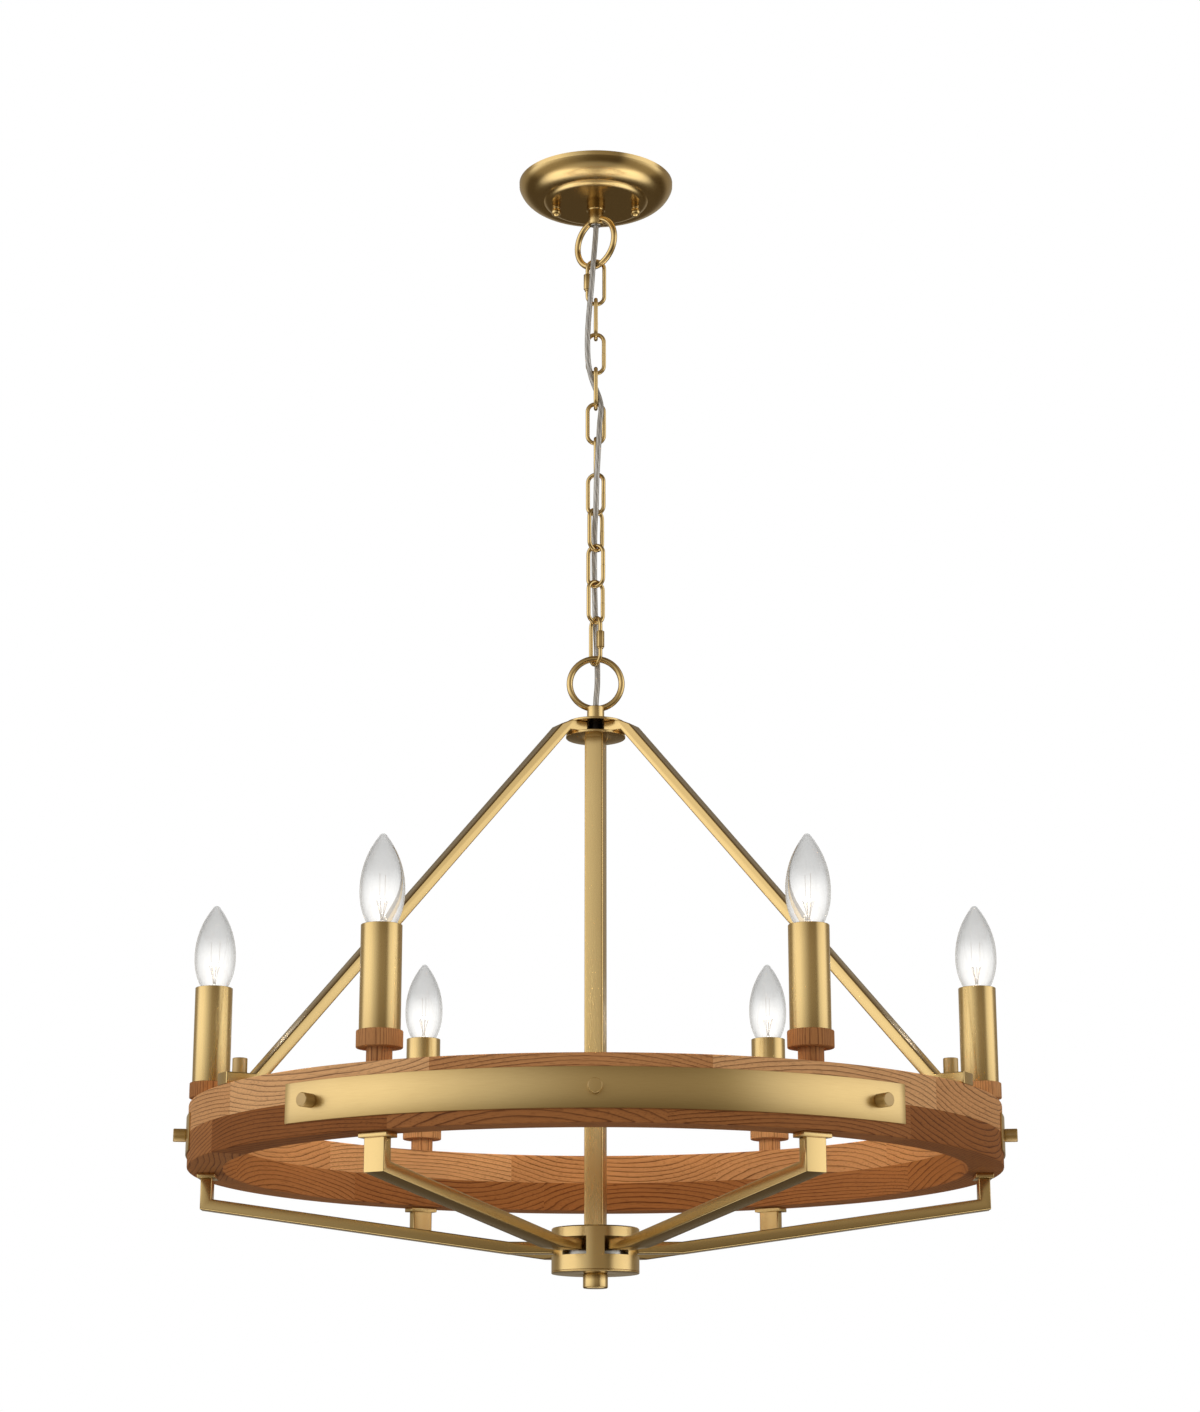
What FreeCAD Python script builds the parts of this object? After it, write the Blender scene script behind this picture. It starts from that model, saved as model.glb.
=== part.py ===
import FreeCAD, Part
import math
import os

# Wagon wheel chandelier: a staved wood rim carried by three sloping arms, with six candle
# lights on it, hung on a chain from a ceiling canopy.
# Millimetres, +Z up, +X right, -Y towards the viewer. The origin is the centre of the
# ceiling plane, so everything hangs at negative Z.

# ---- ceiling canopy and its fixings ----
CANOPY_DIAMETER = 141.5
CANOPY_DEPTH = 21.5
CANOPY_WALL = 1.2
CANOPY_FACE_DIAMETER = 90.0
CANOPY_LIP = 4.0
CANOPY_LIP_DRAFT = 0.1
CANOPY_COVE_OUT = 3.4
CANOPY_COVE_UP = 3.6
CANOPY_BEAD = 3.0
CANOPY_BEAD_DROP = 0.7
CROSSBAR_LENGTH = 108.0
CROSSBAR_WIDTH = 20.0
CROSSBAR_THICKNESS = 2.5
CROSSBAR_CORNER = 9.0
BOX_SCREW_SPACING = 88.9
BOX_SCREW_SLOT_WIDTH = 4.8
BOX_SCREW_SLOT_LENGTH = 8.0
STUD_SPACING = 73.0
STUD_DIAMETER = 4.2
BALL_NUT_DIAMETER = 8.8
BALL_NUT_NECK_DIAMETER = 7.6
BALL_NUT_NECK = 3.6
BALL_NUT_SINK = 0.9
RING_NUT_DIAMETER = 17.0
RING_NUT_HEIGHT = 6.5
RING_NUT_GROOVE = 1.2
RING_NUT_GROOVE_DEPTH = 0.8
LOCK_NUT_WIDTH = 14.0
LOCK_NUT_HEIGHT = 3.5

# ---- threaded lamp tube, used for every hollow stem ----
LAMP_TUBE_DIAMETER = 9.7
LAMP_TUBE_BORE = 7.0
THREAD_CLEARANCE = 0.15

# ---- broken edges of turned and stamped brass ----
COLLAR_CHAMFER = 0.8
SMALL_CHAMFER = 0.4

# ---- loops ----
RING_DIAMETER = 51.4
RING_WIRE = 5.6
TOP_RING_TURN = -43.0
LOOP_COLLAR_DIAMETER = 14.0
TOP_COLLAR_HEIGHT = 13.4
TOP_RING_SINK = 5.0
HUB_COLLAR_DIAMETER = 15.2
HUB_COLLAR_HEIGHT = 14.9
HUB_RING_SINK = 1.6

# ---- chain ----
LINK_LENGTH = 41.5
LINK_WIDTH = 18.4
LINK_WIRE = 3.7
LINK_GAP = 0.3
LINK_SEAM = 0.4
LINK_TURNS = [90, 0, 90, 0, 90, -18, 40, -26, 31]
QUICK_LINK_LENGTH = 46.3
QUICK_LINK_WIDTH = 19.0
QUICK_LINK_WIRE = 3.6
QUICK_LINK_MOUTH = 6.0
QUICK_LINK_TURNS = [6, -57]
QUICK_LINK_NUT_SIDES = [-1, 1]
LINK_NUT_WIDTH = 6.3
LINK_NUT_LENGTH = 15.0
LINK_NUT_CLEARANCE = 0.1
LINK_SHOULDER_DIAMETER = 5.4
LINK_SHOULDER_HEIGHT = 1.2

# ---- cord ----
CORD_DIAMETER = 5.0

# ---- upper hub: two discs that clamp the arms on a spacer ----
DISC_DIAMETER = 52.3
DISC_THICKNESS = 2.0
SPACER_DIAMETER = 14.0

# ---- arms, all of one rectangular tube ----
ARM_WIDTH = 19.0
ARM_THICKNESS = 9.5
ARM_WALL = 1.2
ARM_DROP = 331.0
UPPER_ARM_BEND_RADIUS = 32.6
UPPER_ARM_FACET = 6.3
UPPER_ARM_ANGLES = [90, 210, 330]
FOOT_BEND_INSET = 2.7
LOWER_ARM_BEND_RADIUS = 73.0
LOWER_ARM_LEG = 21.7
LOWER_ARM_INNER_END = 20.0
ARM_END_CLEARANCE = 0.6
CANDLE_ANGLES = [0, 60, 120, 180, 240, 300]
PLATE_WIDTH = 26.0
PLATE_DEPTH = 15.0
PLATE_THICKNESS = 4.2

# ---- centre post and lower hub ----
POST_SIDE = 16.5
POST_WALL = 1.2
POST_TURN = -13.0
POST_CORNER = 1.6
POST_LENGTH = 426.5
HUB_DIAMETER = 74.0
HUB_HEIGHT = 36.0
HUB_WALL = 1.5
HUB_CHAMFER = 1.0
WINDOW_WIDTH = 23.0
WINDOW_HEIGHT = 14.8
WINDOW_DROP = 16.4
SPIDER_DIAMETER = 62.0
SPIDER_THICKNESS = 2.0
ARM_SCREW_DIAMETER = 4.0
ARM_SCREW_RADIUS = 26.0
ARM_SCREW_HEAD = 7.0
ARM_SCREW_HEAD_HEIGHT = 2.4
COVER_THICKNESS = 1.7
COVER_CHAMFER = 0.5
FINIAL_DIAMETER = 21.0
FINIAL_HEIGHT = 12.0
FINIAL_CHAMFER = 1.2

# ---- rim: two glued courses of staves ----
RIM_DIAMETER = 686.0
RIM_WIDTH = 30.0
RIM_HEIGHT = 52.0
STAVES = 10
UPPER_JOINT_ANGLE = 32.8
LOWER_JOINT_ANGLE = 27.0
RIM_EDGE = 1.0

# ---- brass bands and knobs ----
BAND_THICKNESS = 1.5
BAND_HEIGHT = 31.0
BAND_HALF_ANGLE = 43.8
BAND_KNOB_HALF_ANGLE = 39.0
BAND_ANGLES = [270, 30, 150]
KNOB_DIAMETER = 11.0
BAND_KNOB_LENGTH = 10.5
ARM_KNOB_DIAMETER = 12.0
ARM_KNOB_LENGTH = 12.5
KNOB_CHAMFER = 0.6
KNOB_SCREW_DIAMETER = 4.0
KNOB_SCREW_DEPTH = 16.0

# ---- candle lights ----
CUP_DIAMETER = 36.1
CUP_HEIGHT = 13.3
CUP_EDGE = 1.2
NECK_DIAMETER = 20.1
NECK_HEIGHT = 11.7
SLEEVE_DIAMETER = 32.0
SLEEVE_WALL = 1.0
SLEEVE_HEIGHT = 81.8
CANDLE_NUT_HEIGHT = 4.0
STEM_RISE = 10.0
SOCKET_DIAMETER = 23.0
SOCKET_HEIGHT = 29.0
SOCKET_RECESS = 8.0
SOCKET_FLOOR = 5.0
BRACKET_WIDTH = 9.0
BRACKET_FOOT_WIDTH = 15.0
BRACKET_THICKNESS = 1.4
BULB_DIAMETER = 35.2
BULB_TIP_RADIUS = 3.6
BULB_TIP_SLOPE = 20.0
BULB_HEIGHT = 72.0
BULB_WIDEST = 26.0
BULB_BELLY_OUT = 1.9
BULB_BELLY_UP = 0.5
BULB_SHOULDER_DIAMETER = 28.5
BULB_SHOULDER_RISE = 22.7
BULB_MOUTH_DIAMETER = 22.0
BULB_NECK_DIAMETER = 12.6
BULB_NECK_LENGTH = 1.6
BULB_GLASS = 0.9
BULB_CAP_DIAMETER = 11.9
BULB_CAP_CLEARANCE = 0.2
BULB_CAP_CHAMFER = 1.2
BULB_TIP_CONTACT = 2.0

# ---- places worked out from the sizes above, from the ceiling down ----
RING_RADIUS = (RING_DIAMETER - RING_WIRE) / 2
CANOPY_FACE_Z = -CANOPY_DEPTH
TOP_COLLAR_Z = CANOPY_FACE_Z - RING_NUT_HEIGHT
TOP_COLLAR_END_Z = TOP_COLLAR_Z - TOP_COLLAR_HEIGHT
TOP_RING_Z = TOP_COLLAR_END_Z + TOP_RING_SINK - RING_RADIUS
RIM_RADIUS = RIM_DIAMETER / 2
RIM_INNER_RADIUS = RIM_RADIUS - RIM_WIDTH
RIM_MIDDLE_RADIUS = RIM_RADIUS - RIM_WIDTH / 2


def chain_pivots():
    """Height of the wire that each chain piece hangs on, then the hub ring's own."""
    heights = [TOP_RING_Z - RING_RADIUS]
    wires = [RING_WIRE, QUICK_LINK_WIRE] + [LINK_WIRE] * len(LINK_TURNS)
    wires += [QUICK_LINK_WIRE, RING_WIRE]
    lengths = [QUICK_LINK_LENGTH] + [LINK_LENGTH] * len(LINK_TURNS) + [QUICK_LINK_LENGTH]
    for n, length in enumerate(lengths):
        above, own = wires[n], wires[n + 1]
        top_wire = heights[-1] + (above + own) / 2 + LINK_GAP
        heights.append(top_wire - (length - own))
    return heights


PIVOTS = chain_pivots()
HUB_RING_Z = PIVOTS[-1] + (QUICK_LINK_WIRE + RING_WIRE) / 2 + LINK_GAP - RING_RADIUS
HUB_COLLAR_TOP_Z = HUB_RING_Z - RING_RADIUS + HUB_RING_SINK
TOP_DISC_Z = HUB_COLLAR_TOP_Z - HUB_COLLAR_HEIGHT
ARM_TOP_Z = TOP_DISC_Z - DISC_THICKNESS
STUB_Z = ARM_TOP_Z - ARM_THICKNESS / 2
LOWER_DISC_Z = ARM_TOP_Z - ARM_THICKNESS
POST_TOP_Z = LOWER_DISC_Z - DISC_THICKNESS
HUB_TOP_Z = POST_TOP_Z - POST_LENGTH
HUB_BOTTOM_Z = HUB_TOP_Z - HUB_HEIGHT
COVER_Z = HUB_BOTTOM_Z - COVER_THICKNESS
WINDOW_Z = HUB_TOP_Z - WINDOW_DROP
RIM_TOP_Z = STUB_Z - ARM_DROP - ARM_THICKNESS / 2
RIM_BOTTOM_Z = RIM_TOP_Z - RIM_HEIGHT
PLATE_BOTTOM_Z = RIM_BOTTOM_Z - PLATE_THICKNESS
CUP_Z = RIM_TOP_Z + NECK_HEIGHT
CUP_TOP_Z = CUP_Z + CUP_HEIGHT
SLEEVE_TOP_Z = CUP_TOP_Z + SLEEVE_HEIGHT
SOCKET_TOP_Z = SLEEVE_TOP_Z - SOCKET_RECESS
SOCKET_Z = SOCKET_TOP_Z - SOCKET_HEIGHT

# Centre line of the hanging cord: sideways and forward places, and how many chain pieces
# below the top pivot. It goes through the top ring to the front, down the left, through the
# third link to the right, down the front, through the seventh link to the back, and through
# the hub ring.
CORD_ROUTE = [
    (-1.2, -3.2, -0.43),
    (-2.5, -6.0, 0.05),
    (-3.8, -7.2, 0.58),
    (-5.8, -7.1, 1.18),
    (-7.5, -6.6, 1.89),
    (-7.6, -6.1, 2.48),
    (-6.4, -5.1, 2.89),
    (-2.8, -2.6, 3.28),
    (2.6, -2.7, 3.66),
    (5.4, -5.7, 4.05),
    (3.6, -8.6, 4.49),
    (2.9, -11.0, 4.99),
    (1.9, -12.2, 5.5),
    (1.1, -11.6, 5.97),
    (0.5, -9.6, 6.41),
    (0.4, -7.0, 6.86),
    (-0.9, -1.6, 7.3),
    (-1.2, 4.8, 7.74),
    (-1.3, 8.6, 8.28),
    (-1.1, 10.0, 8.87),
    (-0.6, 10.2, 9.52),
    (0.2, 9.5, 10.15),
    (1.1, 8.0, 10.66),
    (1.6, 5.3, 11.13),
    (1.5, 2.2, 11.54),
]
CORD_TOP_STRAIGHT = 8.6
CORD_END_STRAIGHT = 4.3
CORD_IN_CANOPY = 12.0
CORD_IN_STEM = 27.7
CORD_SLACK = 0.4


def on_chain(pieces):
    """Height that lies a number of chain pieces below the top pivot."""
    n = min(max(int(pieces), 0), len(PIVOTS) - 2)
    return PIVOTS[n] + (pieces - n) * (PIVOTS[n + 1] - PIVOTS[n])


def cord_points():
    """Corners of the cord's centre line, from inside the canopy into the stem tube.

    In both stems the cord leans to one side of the bore.
    """
    top, top_end = -CORD_IN_CANOPY, TOP_COLLAR_END_Z - CORD_TOP_STRAIGHT
    low, low_end = HUB_COLLAR_TOP_Z + CORD_END_STRAIGHT, HUB_COLLAR_TOP_Z - CORD_IN_STEM
    points = [(0.0, 0.0, top), (CORD_SLACK, 0.0, (top + top_end) / 2), (0.0, 0.0, top_end)]
    points += [(x, y, on_chain(pieces)) for x, y, pieces in CORD_ROUTE]
    points += [(0.0, 0.0, low), (CORD_SLACK, 0.0, (low + low_end) / 2), (0.0, 0.0, low_end)]
    return points


def at(x, y, z):
    return FreeCAD.Vector(x, y, z)


UP = at(0, 0, 1)


def polar(radius, angle, z):
    a = math.radians(angle)
    return at(radius * math.cos(a), radius * math.sin(a), z)


def disc(diameter, low, high, centre=(0, 0)):
    """Upright cylinder between two heights."""
    base = at(centre[0], centre[1], min(low, high))
    return Part.makeCylinder(diameter / 2, abs(high - low), base, UP)


def tube(outer, inner, low, high, centre=(0, 0)):
    extra = 1.0
    bore = disc(inner, min(low, high) - extra, max(low, high) + extra, centre)
    return disc(outer, low, high, centre).cut(bore)


def turned(shape, angle):
    """Copy of a shape, turned about the vertical axis."""
    copy = shape.copy()
    copy.rotate(at(0, 0, 0), UP, angle)
    return copy


def moved(shape, x, y, z):
    copy = shape.copy()
    copy.translate(at(x, y, z))
    return copy


def block(x, y, z, low):
    """Box centred on X and Y, standing on a corner height."""
    return Part.makeBox(x, y, z, at(-x / 2, -y / 2, low))


def hexagon(width, low, high):
    corners = []
    for n in range(7):
        a = math.radians(60 * n)
        corners.append(at(width / math.sqrt(3) * math.cos(a), width / math.sqrt(3) * math.sin(a), low))
    face = Part.Face(Part.makePolygon(corners))
    return face.extrude(at(0, 0, high - low))


def bevelled(shape, size, low, high):
    """Chamfer the edges that lie level at or between two heights."""
    near = 0.1
    edges = [e for e in shape.Edges
             if low - near <= e.CenterOfMass.z <= high + near and e.Length > size * 4]
    return shape.makeChamfer(size, edges)


def lathe(points):
    """Solid of revolution about Z from (radius, height) corners and arc middles.

    A point marked with a third value is the middle of an arc between its neighbours.
    """
    edges = []
    n = 0
    while n < len(points) - 1:
        start = at(points[n][0], 0, points[n][1])
        if len(points[n + 1]) == 3:
            middle = at(points[n + 1][0], 0, points[n + 1][1])
            end = at(points[n + 2][0], 0, points[n + 2][1])
            edges.append(Part.Arc(start, middle, end).toShape())
            n += 2
        else:
            end = at(points[n + 1][0], 0, points[n + 1][1])
            edges.append(Part.LineSegment(start, end).toShape())
            n += 1
    first = at(points[0][0], 0, points[0][1])
    last = at(points[-1][0], 0, points[-1][1])
    edges.append(Part.LineSegment(last, first).toShape())
    return Part.Face(Part.Wire(edges)).revolve(at(0, 0, 0), UP, 360)


def ring(z, turn):
    """Round wire ring standing on edge."""
    return turned(Part.makeTorus(RING_RADIUS, RING_WIRE / 2, at(0, 0, z), at(0, 1, 0)), turn)


# ---- ceiling group ----

def canopy_profile(inset):
    """Half section of the dish, from the ceiling to the middle, set in by a wall."""
    rim = CANOPY_DIAMETER / 2 - inset
    face = CANOPY_FACE_DIAMETER / 2
    floor = CANOPY_FACE_Z + inset
    bead_top = CANOPY_FACE_Z + CANOPY_BEAD + inset
    shoulder = face + CANOPY_BEAD
    cove_x = (rim + shoulder) / 2 + CANOPY_COVE_OUT
    cove_z = (bead_top - CANOPY_LIP) / 2 - CANOPY_COVE_UP
    return [
        (0, 0),
        (rim, 0),
        (rim - CANOPY_LIP_DRAFT, -CANOPY_LIP + inset / 2),
        (cove_x, cove_z + inset / 2, "arc"),
        (shoulder - inset, bead_top),
        (face - inset / 2, floor + CANOPY_BEAD_DROP, "arc"),
        (face - CANOPY_BEAD - inset, floor),
        (0, floor),
    ]


def canopy():
    shell = lathe(canopy_profile(0)).cut(lathe(canopy_profile(CANOPY_WALL)))
    clearance = 2 * THREAD_CLEARANCE
    holes = [disc(LAMP_TUBE_DIAMETER + clearance, CANOPY_FACE_Z - 1, 0)]
    for side in (-1, 1):
        place = (side * STUD_SPACING / 2, 0)
        holes.append(disc(STUD_DIAMETER + clearance, CANOPY_FACE_Z - 1, 0, place))
    for hole in holes:
        shell = shell.cut(hole)
    return shell


def crossbar():
    """Flat bar with a tapped middle, two stud holes and two slots for the box screws."""
    bar = block(CROSSBAR_LENGTH, CROSSBAR_WIDTH, CROSSBAR_THICKNESS, -CROSSBAR_THICKNESS)
    corners = [e for e in bar.Edges if abs(e.Length - CROSSBAR_THICKNESS) < 1e-6]
    bar = bar.makeFillet(CROSSBAR_CORNER, corners)
    low = -CROSSBAR_THICKNESS - 1
    bar = bar.cut(disc(LAMP_TUBE_DIAMETER, low, 1))
    for side in (-1, 1):
        bar = bar.cut(disc(STUD_DIAMETER, low, 1, (side * STUD_SPACING / 2, 0)))
        straight = BOX_SCREW_SLOT_LENGTH - BOX_SCREW_SLOT_WIDTH
        slot = block(straight, BOX_SCREW_SLOT_WIDTH, 1 - low, low)
        for end in (-1, 1):
            slot = slot.fuse(disc(BOX_SCREW_SLOT_WIDTH, low, 1, (end * straight / 2, 0)))
        bar = bar.cut(moved(slot, side * BOX_SCREW_SPACING / 2, 0, 0))
    return bar


def canopy_studs():
    end = CANOPY_FACE_Z - BALL_NUT_NECK
    return [disc(STUD_DIAMETER, end, 0, (side * STUD_SPACING / 2, 0)) for side in (-1, 1)]


def ball_nuts():
    nuts = []
    for side in (-1, 1):
        place = (side * STUD_SPACING / 2, 0)
        neck = disc(BALL_NUT_NECK_DIAMETER, CANOPY_FACE_Z - BALL_NUT_NECK, CANOPY_FACE_Z, place)
        neck = bevelled(neck, SMALL_CHAMFER, CANOPY_FACE_Z - BALL_NUT_NECK, CANOPY_FACE_Z)
        ball_z = CANOPY_FACE_Z - BALL_NUT_NECK - BALL_NUT_DIAMETER / 2 + BALL_NUT_SINK
        ball = Part.makeSphere(BALL_NUT_DIAMETER / 2, at(place[0], place[1], ball_z))
        nut = neck.fuse(ball)
        nuts.append(nut.cut(disc(STUD_DIAMETER, CANOPY_FACE_Z - BALL_NUT_NECK, 1, place)))
    return nuts


def canopy_stem():
    end = TOP_COLLAR_Z - RING_NUT_HEIGHT
    return tube(LAMP_TUBE_DIAMETER, LAMP_TUBE_BORE, end, 0)


def lock_nut(top):
    return hexagon(LOCK_NUT_WIDTH, top - LOCK_NUT_HEIGHT, top).cut(
        disc(LAMP_TUBE_DIAMETER, top - LOCK_NUT_HEIGHT - 1, top + 1))


def ring_nut():
    nut = tube(RING_NUT_DIAMETER, LAMP_TUBE_DIAMETER, TOP_COLLAR_Z, CANOPY_FACE_Z)
    groove_z = (TOP_COLLAR_Z + CANOPY_FACE_Z) / 2
    groove = tube(RING_NUT_DIAMETER + 2, RING_NUT_DIAMETER - 2 * RING_NUT_GROOVE_DEPTH,
                  groove_z - RING_NUT_GROOVE / 2, groove_z + RING_NUT_GROOVE / 2)
    nut = bevelled(nut, COLLAR_CHAMFER, TOP_COLLAR_Z, TOP_COLLAR_Z)
    return nut.cut(groove)


def canopy_loop():
    collar = disc(LOOP_COLLAR_DIAMETER, TOP_COLLAR_END_Z, TOP_COLLAR_Z)
    collar = bevelled(collar, COLLAR_CHAMFER, TOP_COLLAR_END_Z, TOP_COLLAR_Z)
    loop = collar.fuse(ring(TOP_RING_Z, TOP_RING_TURN))
    loop = loop.cut(disc(LAMP_TUBE_DIAMETER, TOP_COLLAR_Z - RING_NUT_HEIGHT, TOP_COLLAR_Z + 1))
    return loop.cut(disc(cord_hole(), TOP_COLLAR_END_Z - RING_WIRE, TOP_COLLAR_Z))


def cord_hole():
    return CORD_DIAMETER + 2 * CORD_SLACK


# ---- chain ----

def link_wire_path(length, width, wire):
    """Centre line of a link with round ends, standing in the XZ plane."""
    r = (width - wire) / 2
    h = (length - wire) / 2 - r
    edges = [
        Part.LineSegment(at(r, 0, -h), at(r, 0, h)).toShape(),
        Part.Arc(at(r, 0, h), at(0, 0, h + r), at(-r, 0, h)).toShape(),
        Part.LineSegment(at(-r, 0, h), at(-r, 0, -h)).toShape(),
        Part.Arc(at(-r, 0, -h), at(0, 0, -h - r), at(r, 0, -h)).toShape(),
    ]
    return Part.Wire(edges)


def wire_link(length, width, wire):
    path = link_wire_path(length, width, wire)
    start = at((width - wire) / 2, 0, -(length - wire) / 2 + (width - wire) / 2)
    section = Part.Wire([Part.makeCircle(wire / 2, start, UP)])
    return path.makePipeShell([section], True, False)


def link_centre(n):
    """Middle of the chain piece that hangs on pivot n."""
    return (PIVOTS[n] + PIVOTS[n + 1]) / 2 + (piece_wire(n - 1) + piece_wire(n)) / 4 + LINK_GAP / 2


def piece_wire(n):
    if n < 0:
        return RING_WIRE
    if n == 0 or n == len(LINK_TURNS) + 1:
        return QUICK_LINK_WIRE
    return LINK_WIRE


def chain_link(n):
    """Plain link with the fine butt seam of its bent wire on the right side."""
    link = wire_link(LINK_LENGTH, LINK_WIDTH, LINK_WIRE)
    seam_depth = LINK_WIRE / 5
    seam = Part.makeBox(LINK_WIRE, LINK_WIRE * 2, LINK_SEAM,
                        at(LINK_WIDTH / 2 - seam_depth, -LINK_WIRE, -LINK_SEAM / 2))
    link = link.cut(seam)
    return moved(turned(link, LINK_TURNS[n - 1]), 0, 0, link_centre(n))


def quick_link(n, turn, nut_side):
    """Quick link: a wire loop with a mouth in one side and a shoulder below it."""
    link = wire_link(QUICK_LINK_LENGTH, QUICK_LINK_WIDTH, QUICK_LINK_WIRE)
    x = nut_side * (QUICK_LINK_WIDTH - QUICK_LINK_WIRE) / 2
    mouth = block(QUICK_LINK_WIRE * 2, QUICK_LINK_WIRE * 2, QUICK_LINK_MOUTH, LINK_NUT_CLEARANCE)
    link = link.cut(moved(mouth, x, 0, -LINK_NUT_LENGTH / 2))
    shoulder_top = -LINK_NUT_LENGTH / 2
    shoulder = disc(LINK_SHOULDER_DIAMETER, shoulder_top - LINK_SHOULDER_HEIGHT, shoulder_top, (x, 0))
    link = link.fuse(shoulder)
    return moved(turned(link, turn), 0, 0, link_centre(n))


def quick_link_nut(n, turn, nut_side):
    """Long six-sided nut that closes the mouth of a quick link, with its corners broken."""
    x = nut_side * (QUICK_LINK_WIDTH - QUICK_LINK_WIRE) / 2
    high = LINK_NUT_LENGTH / 2
    corner = LINK_NUT_WIDTH / math.sqrt(3)
    face = corner * 0.8
    envelope = lathe([(0, -high), (face, -high), (corner, -high + corner - face),
                      (corner, high - corner + face), (face, high), (0, high)])
    nut = hexagon(LINK_NUT_WIDTH, -high, high).common(envelope)
    nut = nut.cut(disc(QUICK_LINK_WIRE + 2 * LINK_NUT_CLEARANCE, -high - 1, high + 1))
    return moved(turned(moved(nut, x, 0, 0), turn), 0, 0, link_centre(n))


# ---- cord ----

def cord():
    """Tube along straight runs joined by tangent arcs as large as the runs allow."""
    points = [at(*p) for p in cord_points()]
    edges = []
    here = points[0]
    radii = []
    for n in range(1, len(points) - 1):
        before = points[n] - points[n - 1]
        after = points[n + 1] - points[n]
        turn = before.getAngle(after)
        if turn < 1e-6:
            continue
        tangent = 0.45 * min(before.Length, after.Length)
        radii.append(tangent / math.tan(turn / 2))
        before.normalize()
        after.normalize()
        start = points[n] - before * tangent
        end = points[n] + after * tangent
        inward = after - before
        inward.normalize()
        centre_distance = radii[-1] / math.cos(turn / 2)
        middle = points[n] + inward * (centre_distance - radii[-1])
        edges.append(Part.LineSegment(here, start).toShape())
        edges.append(Part.Arc(start, middle, end).toShape())
        here = end
    edges.append(Part.LineSegment(here, points[-1]).toShape())
    path = Part.Wire(edges)
    section = Part.Wire([Part.makeCircle(CORD_DIAMETER / 2, points[0], points[1] - points[0])])
    solid = path.makePipeShell([section], True, False)
    expected = math.pi * CORD_DIAMETER ** 2 / 4 * path.Length
    print("cord: length", round(path.Length, 1), "radii", [round(r) for r in radii],
          "volume share", round(solid.Volume / expected, 4))
    return solid


# ---- upper hub ----

def hub_loop():
    collar = disc(HUB_COLLAR_DIAMETER, TOP_DISC_Z, HUB_COLLAR_TOP_Z)
    collar = bevelled(collar, COLLAR_CHAMFER, HUB_COLLAR_TOP_Z, HUB_COLLAR_TOP_Z)
    loop = collar.fuse(ring(HUB_RING_Z, 0))
    loop = loop.cut(disc(LAMP_TUBE_DIAMETER, TOP_DISC_Z - 1, TOP_DISC_Z + HUB_COLLAR_HEIGHT / 2))
    return loop.cut(disc(cord_hole(), TOP_DISC_Z, HUB_COLLAR_TOP_Z + RING_WIRE))


def hub_disc(top):
    plate = tube(DISC_DIAMETER, LAMP_TUBE_DIAMETER, top - DISC_THICKNESS, top)
    return bevelled(plate, SMALL_CHAMFER, top - DISC_THICKNESS, top)


def hub_spacer():
    return tube(SPACER_DIAMETER, LAMP_TUBE_DIAMETER, LOWER_DISC_Z, ARM_TOP_Z)


def stem_tube():
    """Threaded tube that clamps the whole middle, from the hub loop to the finial."""
    return tube(LAMP_TUBE_DIAMETER, LAMP_TUBE_BORE, COVER_Z - FINIAL_HEIGHT / 2,
                TOP_DISC_Z + HUB_COLLAR_HEIGHT / 2)


# ---- bent tube arms ----

def meet(first, second):
    """Where two lines cross; each is (point radius, point height, slope angle)."""
    r1, z1, a1 = first
    r2, z2, a2 = second
    c1, s1, c2, s2 = math.cos(a1), math.sin(a1), math.cos(a2), math.sin(a2)
    t = ((r2 - r1) * s2 - (z2 - z1) * c2) / (c1 * s2 - s1 * c2)
    return r1 + t * c1, z1 + t * s1


def shifted(line, distance):
    """Line moved to its left by a distance."""
    r, z, a = line
    return r - distance * math.sin(a), z + distance * math.cos(a), a


def arm_solid(corners, width):
    """Flat outline in the plane of the arm, given the arm's width across."""
    points = [at(r, -width / 2, z) for r, z in corners]
    face = Part.Face(Part.makePolygon(points + points[:1]))
    return face.extrude(at(0, width, 0))


def upper_arm_outline(inset):
    """Side outline of an upper arm: a stub, a faceted bend, the slope and the foot."""
    half = ARM_THICKNESS / 2 - inset
    foot_z = STUB_Z - ARM_DROP
    foot_r = RIM_INNER_RADIUS + FOOT_BEND_INSET
    slope = math.atan2(foot_z - STUB_Z, foot_r - UPPER_ARM_BEND_RADIUS)
    stub = (UPPER_ARM_BEND_RADIUS, STUB_Z, 0.0)
    incline = (UPPER_ARM_BEND_RADIUS, STUB_Z, slope)
    foot = (foot_r, foot_z, 0.0)
    corner = meet(shifted(stub, ARM_THICKNESS / 2), shifted(incline, ARM_THICKNESS / 2))
    facet = (corner[0] - UPPER_ARM_FACET, corner[1], slope / 2)
    stub_end = SPACER_DIAMETER / 2 + ARM_END_CLEARANCE
    start = stub_end if inset == 0 else stub_end - 1
    end = (RIM_RADIUS - inset, foot_z, math.pi / 2)
    facet = shifted(facet, -inset)
    return [
        (start, STUB_Z + half),
        meet(shifted(stub, half), facet),
        meet(facet, shifted(incline, half)),
        meet(shifted(incline, half), shifted(foot, half)),
        meet(shifted(foot, half), end),
        meet(shifted(foot, -half), end),
        meet(shifted(incline, -half), shifted(foot, -half)),
        meet(shifted(stub, -half), shifted(incline, -half)),
        (start, STUB_Z - half),
    ]


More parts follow.
